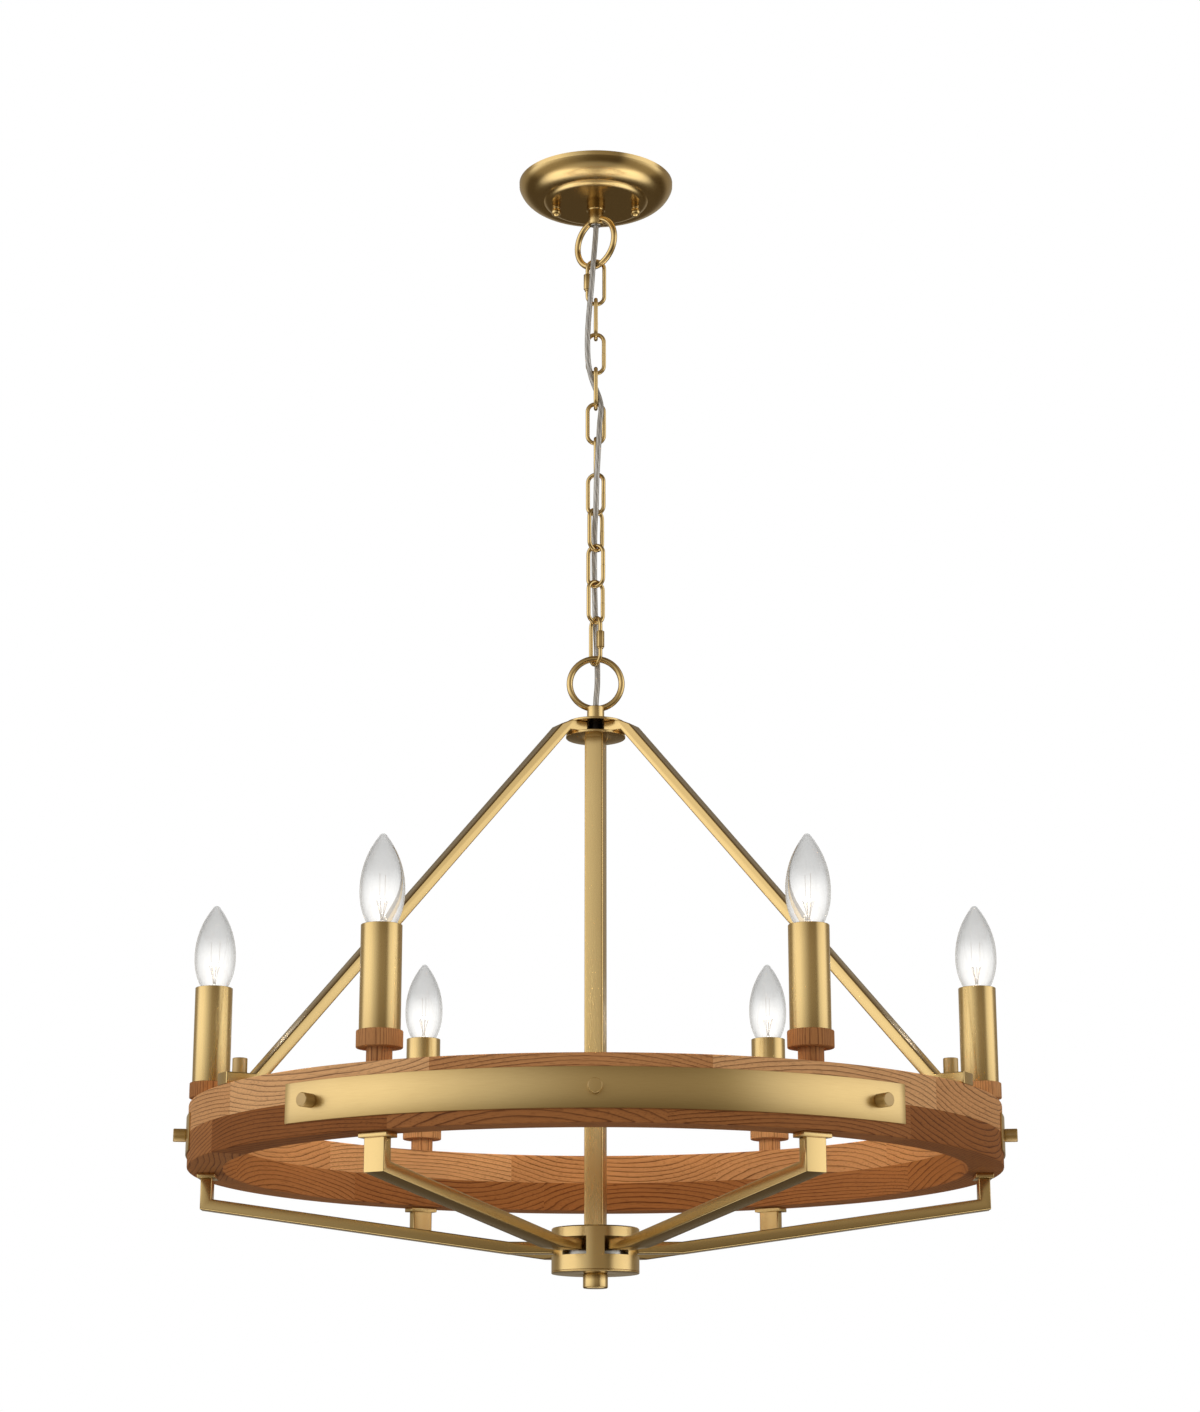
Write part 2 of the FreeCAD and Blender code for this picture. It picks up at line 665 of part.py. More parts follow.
def upper_arm(angle):
    arm = arm_solid(upper_arm_outline(0), ARM_WIDTH)
    arm = arm.cut(arm_solid(upper_arm_outline(ARM_WALL), ARM_WIDTH - 2 * ARM_WALL))
    arm = arm.cut(disc(KNOB_SCREW_DIAMETER, RIM_TOP_Z - 1, RIM_TOP_Z + ARM_THICKNESS + 1,
                       (RIM_MIDDLE_RADIUS, 0)))
    return turned(arm, angle)


def lower_arm_outline(inset):
    """Side outline of a lower arm: leg, slope and stub into the lower hub."""
    half = ARM_THICKNESS / 2 - inset
    corner_z = PLATE_BOTTOM_Z - LOWER_ARM_LEG
    run = RIM_MIDDLE_RADIUS - LOWER_ARM_BEND_RADIUS
    slope = math.atan2(corner_z - WINDOW_Z, run)
    leg = (RIM_MIDDLE_RADIUS, corner_z, math.pi / 2)
    incline = (RIM_MIDDLE_RADIUS, corner_z, slope)
    stub = (LOWER_ARM_BEND_RADIUS, WINDOW_Z, 0.0)
    extra = 0 if inset == 0 else 1
    start = LOWER_ARM_INNER_END - extra
    top = PLATE_BOTTOM_Z + extra
    return [
        (start, WINDOW_Z + half),
        meet(shifted(stub, half), shifted(incline, half)),
        meet(shifted(incline, half), shifted(leg, half)),
        (RIM_MIDDLE_RADIUS - half, top),
        (RIM_MIDDLE_RADIUS + half, top),
        meet(shifted(leg, -half), shifted(incline, -half)),
        meet(shifted(incline, -half), shifted(stub, -half)),
        (start, WINDOW_Z - half),
    ]


def lower_arm(angle):
    arm = arm_solid(lower_arm_outline(0), ARM_WIDTH)
    arm = arm.cut(arm_solid(lower_arm_outline(ARM_WALL), ARM_WIDTH - 2 * ARM_WALL))
    bottom = WINDOW_Z - ARM_THICKNESS / 2
    hole = disc(ARM_SCREW_DIAMETER, bottom - 1, bottom + ARM_WALL + 1, (ARM_SCREW_RADIUS, 0))
    return turned(arm.cut(hole), angle)


def arm_plates():
    plates = []
    for angle in CANDLE_ANGLES:
        plate = block(PLATE_DEPTH, PLATE_WIDTH, PLATE_THICKNESS, PLATE_BOTTOM_Z)
        plate = bevelled(plate, SMALL_CHAMFER, PLATE_BOTTOM_Z, PLATE_BOTTOM_Z)
        plate = plate.cut(disc(LAMP_TUBE_DIAMETER, PLATE_BOTTOM_Z - 1, RIM_BOTTOM_Z + 1))
        plates.append(turned(moved(plate, RIM_MIDDLE_RADIUS, 0, 0), angle))
    return plates


# ---- post and lower hub ----

def centre_post():
    post = block(POST_SIDE, POST_SIDE, POST_LENGTH, HUB_TOP_Z)
    post = post.makeFillet(POST_CORNER, [e for e in post.Edges if abs(e.Length - POST_LENGTH) < 1e-6])
    hollow = block(POST_SIDE - 2 * POST_WALL, POST_SIDE - 2 * POST_WALL, POST_LENGTH + 2, HUB_TOP_Z - 1)
    return turned(post.cut(hollow), POST_TURN)


def lower_hub():
    drum = disc(HUB_DIAMETER, HUB_BOTTOM_Z, HUB_TOP_Z)
    drum = bevelled(drum, HUB_CHAMFER, HUB_TOP_Z, HUB_TOP_Z)
    drum = drum.cut(disc(HUB_DIAMETER - 2 * HUB_WALL, HUB_BOTTOM_Z - 1, HUB_TOP_Z - HUB_WALL))
    drum = drum.cut(disc(LAMP_TUBE_DIAMETER, HUB_BOTTOM_Z, HUB_TOP_Z + 1))
    for angle in CANDLE_ANGLES:
        window = block(HUB_DIAMETER, WINDOW_WIDTH, WINDOW_HEIGHT, WINDOW_Z - WINDOW_HEIGHT / 2)
        drum = drum.cut(turned(moved(window, HUB_DIAMETER * 0.75, 0, 0), angle))
    return drum


def spider_plate():
    top = WINDOW_Z - ARM_THICKNESS / 2
    plate = tube(SPIDER_DIAMETER, LAMP_TUBE_DIAMETER, top - SPIDER_THICKNESS, top)
    for angle in CANDLE_ANGLES:
        place = polar(ARM_SCREW_RADIUS, angle, 0)
        plate = plate.cut(disc(ARM_SCREW_DIAMETER, top - SPIDER_THICKNESS - 1, top + 1, place[:2]))
    return plate


def arm_screws():
    screws = []
    top = WINDOW_Z - ARM_THICKNESS / 2
    for angle in CANDLE_ANGLES:
        place = polar(ARM_SCREW_RADIUS, angle, 0)[:2]
        shank = disc(ARM_SCREW_DIAMETER, top - SPIDER_THICKNESS, top + ARM_WALL + 2, place)
        head_top = top - SPIDER_THICKNESS
        head = disc(ARM_SCREW_HEAD, head_top - ARM_SCREW_HEAD_HEIGHT, head_top, place)
        screws.append(shank.fuse(head))
    return screws


def hub_cover():
    cover = tube(HUB_DIAMETER, LAMP_TUBE_DIAMETER, COVER_Z, HUB_BOTTOM_Z)
    return bevelled(cover, COVER_CHAMFER, COVER_Z, COVER_Z)


def finial():
    knob = disc(FINIAL_DIAMETER, COVER_Z - FINIAL_HEIGHT, COVER_Z)
    knob = bevelled(knob, FINIAL_CHAMFER, COVER_Z - FINIAL_HEIGHT, COVER_Z)
    return knob.cut(disc(LAMP_TUBE_DIAMETER, COVER_Z - FINIAL_HEIGHT / 2, COVER_Z + 1))


# ---- rim ----

def sector(inner, outer, low, high, start, sweep):
    """Part of a ring between two angles."""
    face_z = min(low, high)
    a, b = polar(inner, start, face_z), polar(outer, start, face_z)
    mid_outer = polar(outer, start + sweep / 2, face_z)
    c, d = polar(outer, start + sweep, face_z), polar(inner, start + sweep, face_z)
    mid_inner = polar(inner, start + sweep / 2, face_z)
    edges = [
        Part.LineSegment(a, b).toShape(),
        Part.Arc(b, mid_outer, c).toShape(),
        Part.LineSegment(c, d).toShape(),
        Part.Arc(d, mid_inner, a).toShape(),
    ]
    return Part.Face(Part.Wire(edges)).extrude(at(0, 0, abs(high - low)))


def knob_screw(angle):
    """Screw of a band knob, lying along its radius at the middle of the rim's height."""
    start = polar(RIM_RADIUS - KNOB_SCREW_DEPTH, angle, RIM_TOP_Z - RIM_HEIGHT / 2)
    length = KNOB_SCREW_DEPTH + BAND_THICKNESS
    return Part.makeCylinder(KNOB_SCREW_DIAMETER / 2, length, start, polar(1, angle, 0))


def band_knob_angles():
    steps = (-BAND_KNOB_HALF_ANGLE, 0, BAND_KNOB_HALF_ANGLE)
    return [band + step for band in BAND_ANGLES for step in steps]


def staves(low, high, first_joint, edge_z):
    """One glued course: staves end to end, with their outer edge lightly eased."""
    sweep = 360.0 / STAVES
    pieces = []
    for n in range(STAVES):
        start = first_joint + n * sweep
        stave = sector(RIM_INNER_RADIUS, RIM_RADIUS, low, high, start, sweep)
        long_edges = [e for e in stave.Edges
                      if abs(e.CenterOfMass.z - edge_z) < 0.01 and e.Length > RIM_WIDTH * 2]
        stave = stave.makeChamfer(RIM_EDGE, long_edges)
        for angle in CANDLE_ANGLES:
            if 0 < (angle - start) % 360 < sweep:
                stave = stave.cut(disc(LAMP_TUBE_DIAMETER + 2 * THREAD_CLEARANCE, RIM_BOTTOM_Z - 1,
                                       RIM_TOP_Z + 1, polar(RIM_MIDDLE_RADIUS, angle, 0)[:2]))
        for angle in UPPER_ARM_ANGLES:
            if 0 < (angle - start) % 360 < sweep:
                stave = stave.cut(disc(KNOB_SCREW_DIAMETER, RIM_TOP_Z - KNOB_SCREW_DEPTH,
                                       RIM_TOP_Z + 1, polar(RIM_MIDDLE_RADIUS, angle, 0)[:2]))
        for angle in band_knob_angles():
            reach = math.degrees(KNOB_SCREW_DIAMETER / RIM_RADIUS)
            if -reach < (angle - start + 180) % 360 - 180 < sweep + reach:
                stave = stave.cut(knob_screw(angle))
        pieces.append(stave)
    return pieces


def band(middle):
    low = RIM_TOP_Z - RIM_HEIGHT / 2 - BAND_HEIGHT / 2
    strip = sector(RIM_RADIUS, RIM_RADIUS + BAND_THICKNESS, low, low + BAND_HEIGHT,
                   middle - BAND_HALF_ANGLE, 2 * BAND_HALF_ANGLE)
    for step in (-BAND_KNOB_HALF_ANGLE, 0, BAND_KNOB_HALF_ANGLE):
        strip = strip.cut(knob_screw(middle + step))
    return strip


def round_knob(diameter, length):
    """Plain round knob standing on the origin, with both edges broken."""
    knob = disc(diameter, 0, length)
    return knob.makeChamfer(KNOB_CHAMFER, [e for e in knob.Edges if len(e.Vertexes) == 1])


def band_knobs():
    knobs = []
    for angle in band_knob_angles():
        head = round_knob(KNOB_DIAMETER, BAND_KNOB_LENGTH)
        head.rotate(at(0, 0, 0), at(0, 1, 0), 90)
        head.translate(at(RIM_RADIUS + BAND_THICKNESS, 0, RIM_TOP_Z - RIM_HEIGHT / 2))
        knobs.append(turned(head, angle).fuse(knob_screw(angle)))
    return knobs


def arm_knobs():
    knobs = []
    for angle in UPPER_ARM_ANGLES:
        top = RIM_TOP_Z + ARM_THICKNESS
        head = moved(round_knob(ARM_KNOB_DIAMETER, ARM_KNOB_LENGTH), RIM_MIDDLE_RADIUS, 0, top)
        shank = disc(KNOB_SCREW_DIAMETER, RIM_TOP_Z - KNOB_SCREW_DEPTH, top, (RIM_MIDDLE_RADIUS, 0))
        knobs.append(turned(head.fuse(shank), angle))
    return knobs


# ---- candle lights ----

def around_rim(shapes):
    """Copies of shapes that stand on the axis, one set at each candle."""
    copies = []
    for angle in CANDLE_ANGLES:
        for shape in shapes:
            copies.append(turned(moved(shape, RIM_MIDDLE_RADIUS, 0, 0), angle))
    return copies


def candle_cup():
    neck = disc(NECK_DIAMETER, RIM_TOP_Z, CUP_Z)
    cup = disc(CUP_DIAMETER, CUP_Z, CUP_TOP_Z)
    cup = bevelled(cup, CUP_EDGE, CUP_TOP_Z, CUP_TOP_Z)
    whole = neck.fuse(cup)
    return whole.cut(disc(LAMP_TUBE_DIAMETER + 2 * THREAD_CLEARANCE, RIM_TOP_Z - 1, CUP_TOP_Z + 1))


def candle_stem():
    return tube(LAMP_TUBE_DIAMETER, LAMP_TUBE_BORE, PLATE_BOTTOM_Z, CUP_TOP_Z + STEM_RISE)


def candle_nut():
    return lock_nut(CUP_TOP_Z + BRACKET_THICKNESS + LOCK_NUT_HEIGHT)


def candle_sleeve():
    return tube(SLEEVE_DIAMETER, SLEEVE_DIAMETER - 2 * SLEEVE_WALL, CUP_TOP_Z, SLEEVE_TOP_Z)


def candle_bracket():
    """Bent strip: a foot under the lock nut and an upright that carries the socket."""
    outer_x = SOCKET_DIAMETER / 2 + BRACKET_THICKNESS
    foot = Part.makeBox(outer_x + LOCK_NUT_WIDTH / 2, BRACKET_FOOT_WIDTH, BRACKET_THICKNESS,
                        at(-LOCK_NUT_WIDTH / 2, -BRACKET_FOOT_WIDTH / 2, CUP_TOP_Z))
    upright = Part.makeBox(BRACKET_THICKNESS, BRACKET_WIDTH, SOCKET_Z + SOCKET_HEIGHT / 2 - CUP_TOP_Z,
                           at(SOCKET_DIAMETER / 2, -BRACKET_WIDTH / 2, CUP_TOP_Z))
    strip = foot.fuse(upright)
    return strip.cut(disc(LAMP_TUBE_DIAMETER, CUP_TOP_Z - 1, CUP_TOP_Z + BRACKET_THICKNESS + 1))


def candle_socket():
    body = disc(SOCKET_DIAMETER, SOCKET_Z, SOCKET_TOP_Z)
    bore = BULB_CAP_DIAMETER + 2 * BULB_CAP_CLEARANCE
    body = body.cut(disc(bore, SOCKET_Z + SOCKET_FLOOR, SOCKET_TOP_Z + 1))
    pad = Part.makeBox(BRACKET_THICKNESS, BRACKET_WIDTH, SOCKET_HEIGHT / 2,
                       at(SOCKET_DIAMETER / 2 - BRACKET_THICKNESS, -BRACKET_WIDTH / 2, SOCKET_Z))
    return body.fuse(pad).removeSplitter()


def bulb_glass_profile(inset):
    """Half section of the flame shaped glass, set in by the wall of the glass."""
    low = SOCKET_TOP_Z + BULB_CAP_CLEARANCE
    mouth_z = SLEEVE_TOP_Z
    wide_z = mouth_z + BULB_WIDEST
    tip_z = mouth_z + BULB_HEIGHT
    neck = BULB_NECK_DIAMETER / 2 - inset
    mouth = BULB_MOUTH_DIAMETER / 2 - inset
    wide = BULB_DIAMETER / 2 - inset
    shoulder_r = BULB_SHOULDER_DIAMETER / 2 - inset
    shoulder_z = wide_z + BULB_SHOULDER_RISE
    tip = BULB_TIP_RADIUS - inset
    tip_centre_z = tip_z - BULB_TIP_RADIUS
    slope = math.radians(BULB_TIP_SLOPE)
    half_way = (slope + math.pi / 2) / 2
    low = low - (1 if inset else 0)
    return [
        (0, low),
        (neck, low),
        (neck, low + BULB_NECK_LENGTH),
        (mouth, mouth_z),
        ((mouth + wide) / 2 + BULB_BELLY_OUT, (mouth_z + wide_z) / 2 + BULB_BELLY_UP, "arc"),
        (wide, wide_z),
        (shoulder_r, shoulder_z, "arc"),
        (tip * math.cos(slope), tip_centre_z + tip * math.sin(slope)),
        (tip * math.cos(half_way), tip_centre_z + tip * math.sin(half_way), "arc"),
        (0, tip_centre_z + tip),
    ]


def bulb_glass():
    return lathe(bulb_glass_profile(0)).cut(lathe(bulb_glass_profile(BULB_GLASS)))


def bulb_cap():
    floor = SOCKET_Z + SOCKET_FLOOR + BULB_CAP_CLEARANCE
    top = SOCKET_TOP_Z + BULB_CAP_CLEARANCE
    cap = disc(BULB_CAP_DIAMETER, floor + BULB_TIP_CONTACT, top)
    cap = bevelled(cap, BULB_CAP_CHAMFER, floor + BULB_TIP_CONTACT, floor + BULB_TIP_CONTACT)
    return cap.fuse(disc(BULB_CAP_DIAMETER / 2, floor, floor + BULB_TIP_CONTACT))


# ---- export ----

def save(name, shapes):
    if not isinstance(shapes, list):
        shapes = [shapes]
    solids = []
    for shape in shapes:
        solids += shape.Solids
    for solid in solids:
        if not solid.isValid():
            print("not valid:", name)
    body = solids[0] if len(solids) == 1 else Part.makeCompound(solids)
    body.exportStep("parts/" + name + ".step")
    print(name, len(solids), "solids")


def main():
    os.makedirs("parts", exist_ok=True)

    save("ceiling_crossbar", crossbar())
    save("canopy_studs", canopy_studs())
    save("canopy", canopy())
    save("canopy_ball_nuts", ball_nuts())
    save("canopy_stem", canopy_stem())
    save("canopy_lock_nut", lock_nut(-CROSSBAR_THICKNESS))
    save("canopy_ring_nut", ring_nut())
    save("canopy_loop", canopy_loop())

    last = len(LINK_TURNS) + 1
    for n, name, kind in ((0, "upper_quick_link", 0), (last, "lower_quick_link", 1)):
        turn, side = QUICK_LINK_TURNS[kind], QUICK_LINK_NUT_SIDES[kind]
        save(name, quick_link(n, turn, side))
        save(name + "_nut", quick_link_nut(n, turn, side))
    for n in range(1, last):
        save("chain_link_" + str(n), chain_link(n))
    save("cord", cord())

    save("hub_loop", hub_loop())
    save("hub_top_disc", hub_disc(TOP_DISC_Z))
    save("hub_spacer", hub_spacer())
    save("hub_bottom_disc", hub_disc(LOWER_DISC_Z))
    save("stem_tube", stem_tube())
    for n, angle in enumerate(UPPER_ARM_ANGLES):
        save("upper_arm_" + str(n + 1), upper_arm(angle))
    save("arm_knobs", arm_knobs())
    save("centre_post", centre_post())
    save("lower_hub", lower_hub())
    save("spider_plate", spider_plate())
    save("arm_screws", arm_screws())
    save("hub_cover", hub_cover())
    save("finial", finial())
    for n, angle in enumerate(CANDLE_ANGLES):
        save("lower_arm_" + str(n + 1), lower_arm(angle))
    save("arm_plates", arm_plates())

    middle = RIM_TOP_Z - RIM_HEIGHT / 2
    save("rim_upper_course", staves(middle, RIM_TOP_Z, UPPER_JOINT_ANGLE, RIM_TOP_Z))
    save("rim_lower_course", staves(RIM_BOTTOM_Z, middle, LOWER_JOINT_ANGLE, RIM_BOTTOM_Z))
    save("brass_bands", [band(angle) for angle in BAND_ANGLES])
    save("band_knobs", band_knobs())

    save("candle_cups", around_rim([candle_cup()]))
    save("candle_stems", around_rim([candle_stem(), candle_nut()]))
    save("candle_sleeves", around_rim([candle_sleeve()]))
    save("socket_brackets", around_rim([candle_bracket()]))
    save("candle_sockets", around_rim([candle_socket()]))
    for n, shape in enumerate(around_rim([Part.makeCompound([bulb_glass(), bulb_cap()])])):
        save("bulb_" + str(n + 1), shape)
    print("rim top", round(RIM_TOP_Z, 2), "finial", round(COVER_Z - FINIAL_HEIGHT, 2))
    print("pivots", [round(z, 2) for z in PIVOTS], "hub ring", round(HUB_RING_Z, 2))


main()
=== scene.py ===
import math
import random

import bmesh
import bpy
from bpy.props import FloatProperty, FloatVectorProperty, PointerProperty
from mathutils import Matrix, Vector


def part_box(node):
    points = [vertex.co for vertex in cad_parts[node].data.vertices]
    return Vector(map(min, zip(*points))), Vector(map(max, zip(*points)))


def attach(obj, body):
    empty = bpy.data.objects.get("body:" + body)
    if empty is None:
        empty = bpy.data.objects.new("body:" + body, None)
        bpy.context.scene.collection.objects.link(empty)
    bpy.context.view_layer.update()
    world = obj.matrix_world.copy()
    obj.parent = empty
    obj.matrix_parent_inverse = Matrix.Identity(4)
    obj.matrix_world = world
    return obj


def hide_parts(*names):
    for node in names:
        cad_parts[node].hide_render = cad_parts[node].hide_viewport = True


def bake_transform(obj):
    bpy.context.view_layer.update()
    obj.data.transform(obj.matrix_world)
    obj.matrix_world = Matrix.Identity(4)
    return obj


bl_info = {
    "name": "Wagon wheel chandelier",
    "version": (1, 0, 0),
    "blender": (4, 5, 0),
    "location": "View3D > Sidebar > Chandelier",
    "description": "Dresses the chandelier in wood, satin brass and clear glass",
    "category": "Object",
}

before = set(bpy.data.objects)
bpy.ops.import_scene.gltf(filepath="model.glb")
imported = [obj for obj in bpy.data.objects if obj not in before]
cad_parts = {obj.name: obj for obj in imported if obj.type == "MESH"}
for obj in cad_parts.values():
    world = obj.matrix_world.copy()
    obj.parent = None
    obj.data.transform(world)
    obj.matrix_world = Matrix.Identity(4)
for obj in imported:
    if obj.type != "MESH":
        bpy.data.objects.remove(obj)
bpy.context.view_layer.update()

MM = 0.001
UP = Vector((0, 0, 1))


def heights(node):
    """Lowest and highest place of a CAD node, in mm."""
    low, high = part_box(node)
    return low.z / MM, high.z / MM


# Angles in degrees and sizes in mm that the looks share with the CAD part.
CANDLE_ANGLES = [0, 60, 120, 180, 240, 300]
ARM_ANGLES = [90, 210, 330]
BAND_ANGLES = [270, 30, 150]
LINK_TURNS = [90, 0, 90, 0, 90, -18, 40, -26, 31]
RIM_RADIUS = 343.0
RIM_WIDTH = 30.0
MIDDLE_RADIUS = RIM_RADIUS - RIM_WIDTH / 2
RIM_TOP = heights("rim_upper_course")[1]
SLEEVE_TOP = heights("candle_sleeves")[1]
GLOW_TOP = SLEEVE_TOP + 60
ARM_WIDE, ARM_TALL = 19.0, 9.5
TUBE_RADIUS = 4.85
CORD_THICK = 5.0
CORD_EXIT = -41.4

# Length, width and wire of a chain link and of a quick link.
LINK_SIZE = (41.5, 18.4, 3.7)
QUICK_SIZE = (46.3, 19.0, 3.6)

# Heights of the wires that the chain pieces hang on, from the top ring to the hub ring.
PIVOTS = [-82.2, -120.0, -153.85, -187.65, -221.45, -255.25, -289.05, -322.85, -356.65,
          -390.45, -424.25, -463.0]

# The cord: sideways and forward places in mm, and how many chain pieces below the top pivot.
CORD_ROUTE = [
    (-1.2, -3.2, -0.43), (-2.5, -6.0, 0.05), (-3.8, -7.2, 0.58), (-5.8, -7.1, 1.18),
    (-7.5, -6.6, 1.89), (-7.6, -6.1, 2.48), (-6.4, -5.1, 2.89), (-2.8, -2.6, 3.28),
    (2.6, -2.7, 3.66), (5.4, -5.7, 4.05), (3.6, -8.6, 4.49), (2.9, -11.0, 4.99),
    (1.9, -12.2, 5.5), (1.1, -11.6, 5.97), (0.5, -9.6, 6.41), (0.4, -7.0, 6.86),
    (-0.9, -1.6, 7.3), (-1.2, 4.8, 7.74), (-1.3, 8.6, 8.28), (-1.1, 10.0, 8.87),
    (-0.6, 10.2, 9.52), (0.2, 9.5, 10.15), (1.1, 8.0, 10.66), (1.6, 5.3, 11.13),
    (1.5, 2.2, 11.54),
]
CORD_TOP = [(0, 0, -12), (0.4, 0, -31), (0, 0, -50)]
CORD_END = [(0, 0, -498), (0.4, 0, -514), (0, 0, -530)]


def on_chain(pieces):
    """Height that lies a number of chain pieces below the top pivot."""
    n = min(max(int(pieces), 0), len(PIVOTS) - 2)
    return PIVOTS[n] + (pieces - n) * (PIVOTS[n + 1] - PIVOTS[n])


def measure(name, text, value):
    return FloatProperty(name=name, description=text, default=value * MM, unit="LENGTH")


def paint(name, text, value):
    return FloatVectorProperty(name=name, description=text, default=value, subtype="COLOR",
                               min=0, max=1)


class ChandelierSizes(bpy.types.PropertyGroup):
    arm_edge: measure("Arm edge", "Rounding on the corners of the rectangular arm tube", 1.1)
    plate_edge: measure("Small edge", "Rounding on discs, plates, bands and knobs", 0.45)
    stave_edge: measure("Stave edge", "Rounding on the long edges of the wood staves", 1.0)
    weld: measure("Weld", "How far the weld stands out of a link's wire", 0.35)
    filament: measure("Filament", "Thickness of the coiled lamp filament", 0.5)
    growth_ring: measure("Growth ring", "Distance between the dark lines of the rim's wood", 3.0)
    cup_ring: measure("Cup growth ring", "Distance between the dark lines of the cups", 1.9)


class ChandelierColours(bpy.types.PropertyGroup):
    brass: paint("Satin brass", "Colour of the lacquered satin brass", (0.65, 0.46, 0.175))
    wood_light: paint("Wood, light", "Early wood between the dark lines", (0.62, 0.29, 0.105))
    wood_dark: paint("Wood, dark", "Late wood of the dark lines", (0.17, 0.065, 0.022))
    cord: paint("Cord", "Clear jacket over tinned wires", (0.56, 0.54, 0.50))
    lamp: paint("Lamp light", "Colour of the lit filament", (1.0, 0.78, 0.52))


def sizes():
    return bpy.context.scene.chandelier_sizes


def colours():
    return bpy.context.scene.chandelier_colours


# ---- shop helpers ----

def turned(angle, radius=0.0, height=0.0):
    """Place on the wheel: out along +X by a radius in mm, then turned about the middle."""
    return Matrix.Rotation(math.radians(angle), 4, "Z") @ Matrix.Translation(
        (radius * MM, 0, height * MM))


def wire_circle(bm, diameter, centre, axis, steps=16):
    """Open circle of edges, the section of a wire or tube."""
    spin = axis.to_track_quat("Z", "Y").to_matrix().to_4x4()
    made = bmesh.ops.create_circle(bm, segments=steps, radius=diameter / 2,
                                   matrix=Matrix.Translation(centre) @ spin)
    return made["verts"], [e for e in bm.edges if e.verts[0] in made["verts"]
                           and e.verts[1] in made["verts"]]


def tube_on(bm, points, diameter, steps=12, caps=True):
    """Sweeps a circle along points without letting it twist."""
    points = [Vector(p) for p in points]
    ways = [(b - a).normalized() for a, b in zip(points, points[1:])]
    verts, edges = wire_circle(bm, diameter, points[0], ways[0], steps)
    first = list(edges)
    for n in range(1, len(points)):
        verts, edges = split(bmesh.ops.extrude_edge_only(bm, edges=edges)["geom"])
        bmesh.ops.translate(bm, verts=verts, vec=points[n] - points[n - 1])
        before = ways[n - 1] if n < 2 else (ways[n - 1] + ways[n - 2]).normalized()
        after = (ways[min(n, len(ways) - 1)] + ways[n - 1]).normalized()
        turn = before.rotation_difference(after).to_matrix()
        bmesh.ops.rotate(bm, verts=verts, cent=points[n], matrix=turn)
    if caps:
        bmesh.ops.edgeloop_fill(bm, edges=first)
        bmesh.ops.edgeloop_fill(bm, edges=edges)


def split(geom):
    """Vertices and edges of an operator's result."""
    return ([g for g in geom if isinstance(g, bmesh.types.BMVert)],
            [g for g in geom if isinstance(g, bmesh.types.BMEdge)])


def close_up(bm, reach=1e-6):
    """Merges the points that meet and turns the faces outwards."""
    bmesh.ops.remove_doubles(bm, verts=bm.verts, dist=reach)
    bmesh.ops.recalc_face_normals(bm, faces=bm.faces)


def outline_chain(bm, points):
    """A few corners in mm as (radius, height), joined by edges in the XZ plane."""
    verts = [bm.verts.new((r * MM, 0, z * MM)) for r, z in points]
    return verts, [bm.edges.new(pair) for pair in zip(verts, verts[1:])]


def lathe(points, steps=48, closed=False):
    """Turns a half section about the Z axis; the section may close on itself."""
    bm = bmesh.new()
    verts, edges = outline_chain(bm, points)
    if closed:
        edges.append(bm.edges.new((verts[-1], verts[0])))
    bmesh.ops.spin(bm, geom=verts + edges, cent=(0, 0, 0), axis=UP, angle=2 * math.pi,
                   steps=steps, use_merge=True)
    close_up(bm)
    return bm


def round_edges(bm, width, least=25.0, segments=3, test=None):
    """Rounds the edges that turn by more than an angle."""
    picked = [e for e in bm.edges if len(e.link_faces) == 2
              and math.degrees(e.calc_face_angle(0.0)) > least and (test is None or test(e))]
    bmesh.ops.bevel(bm, geom=picked, offset=width, offset_type="OFFSET", affect="EDGES",
                    segments=segments, profile=0.5, material=-1, clamp_overlap=True)


def turned_part(bore, radius, low, high, edge, segments=3, steps=64):
    """Disc, collar or knob between two heights in mm, with rounded edges."""
    bm = lathe([(bore, low), (radius, low), (radius, high), (bore, high)], steps, bore > 0)
    round_edges(bm, edge, segments=segments)
    return bm


def swept_bar(inner, outer, low, high, sweep, steps):
    """Bar of rectangular section, swept about the Z axis; sizes in mm and degrees."""
    bm = bmesh.new()
    verts, _ = outline_chain(bm, [(inner, low), (outer, low), (outer, high), (inner, high)])
    face = bm.faces.new(verts)
    bmesh.ops.spin(bm, geom=[face, *face.edges, *verts], cent=(0, 0, 0), axis=UP,
                   angle=math.radians(sweep), steps=steps)
    close_up(bm)
    return bm


def box(*sides):
    """Box round the middle, with its sides in mm."""
    bm = bmesh.new()
    bmesh.ops.create_cube(bm, size=1.0, matrix=Matrix.Diagonal([*(a * MM for a in sides), 1]))
    return bm


def place(bm, matrix):
    bmesh.ops.transform(bm, matrix=matrix, verts=bm.verts)


def copies(bm, matrices, grains=None):
    """Replaces what a bmesh holds by one copy of it at each place.

    A wooden copy also has a grain: its place in its own board, as a matrix, and its tone.
    """
    pattern = bpy.data.meshes.new("pattern")
    bm.to_mesh(pattern)
    bm.clear()
    if grains:
        board = bm.verts.layers.float_vector.new("board")
        tint = bm.verts.layers.float.new("tint")
    for n, matrix in enumerate(matrices):
        before = set(bm.verts)
        bm.from_mesh(pattern)
        fresh = [v for v in bm.verts if v not in before]
        if grains:
            for vert in fresh:
                vert[board], vert[tint] = grains[n][0] @ vert.co, grains[n][1]
        bmesh.ops.transform(bm, matrix=matrix, verts=fresh)
    bpy.data.meshes.remove(pattern)


def add_object(name, data, spot=(0, 0, 0)):
    made = bpy.data.objects.new(name, data)
    made.location = spot
    bpy.context.scene.collection.objects.link(made)
    return made


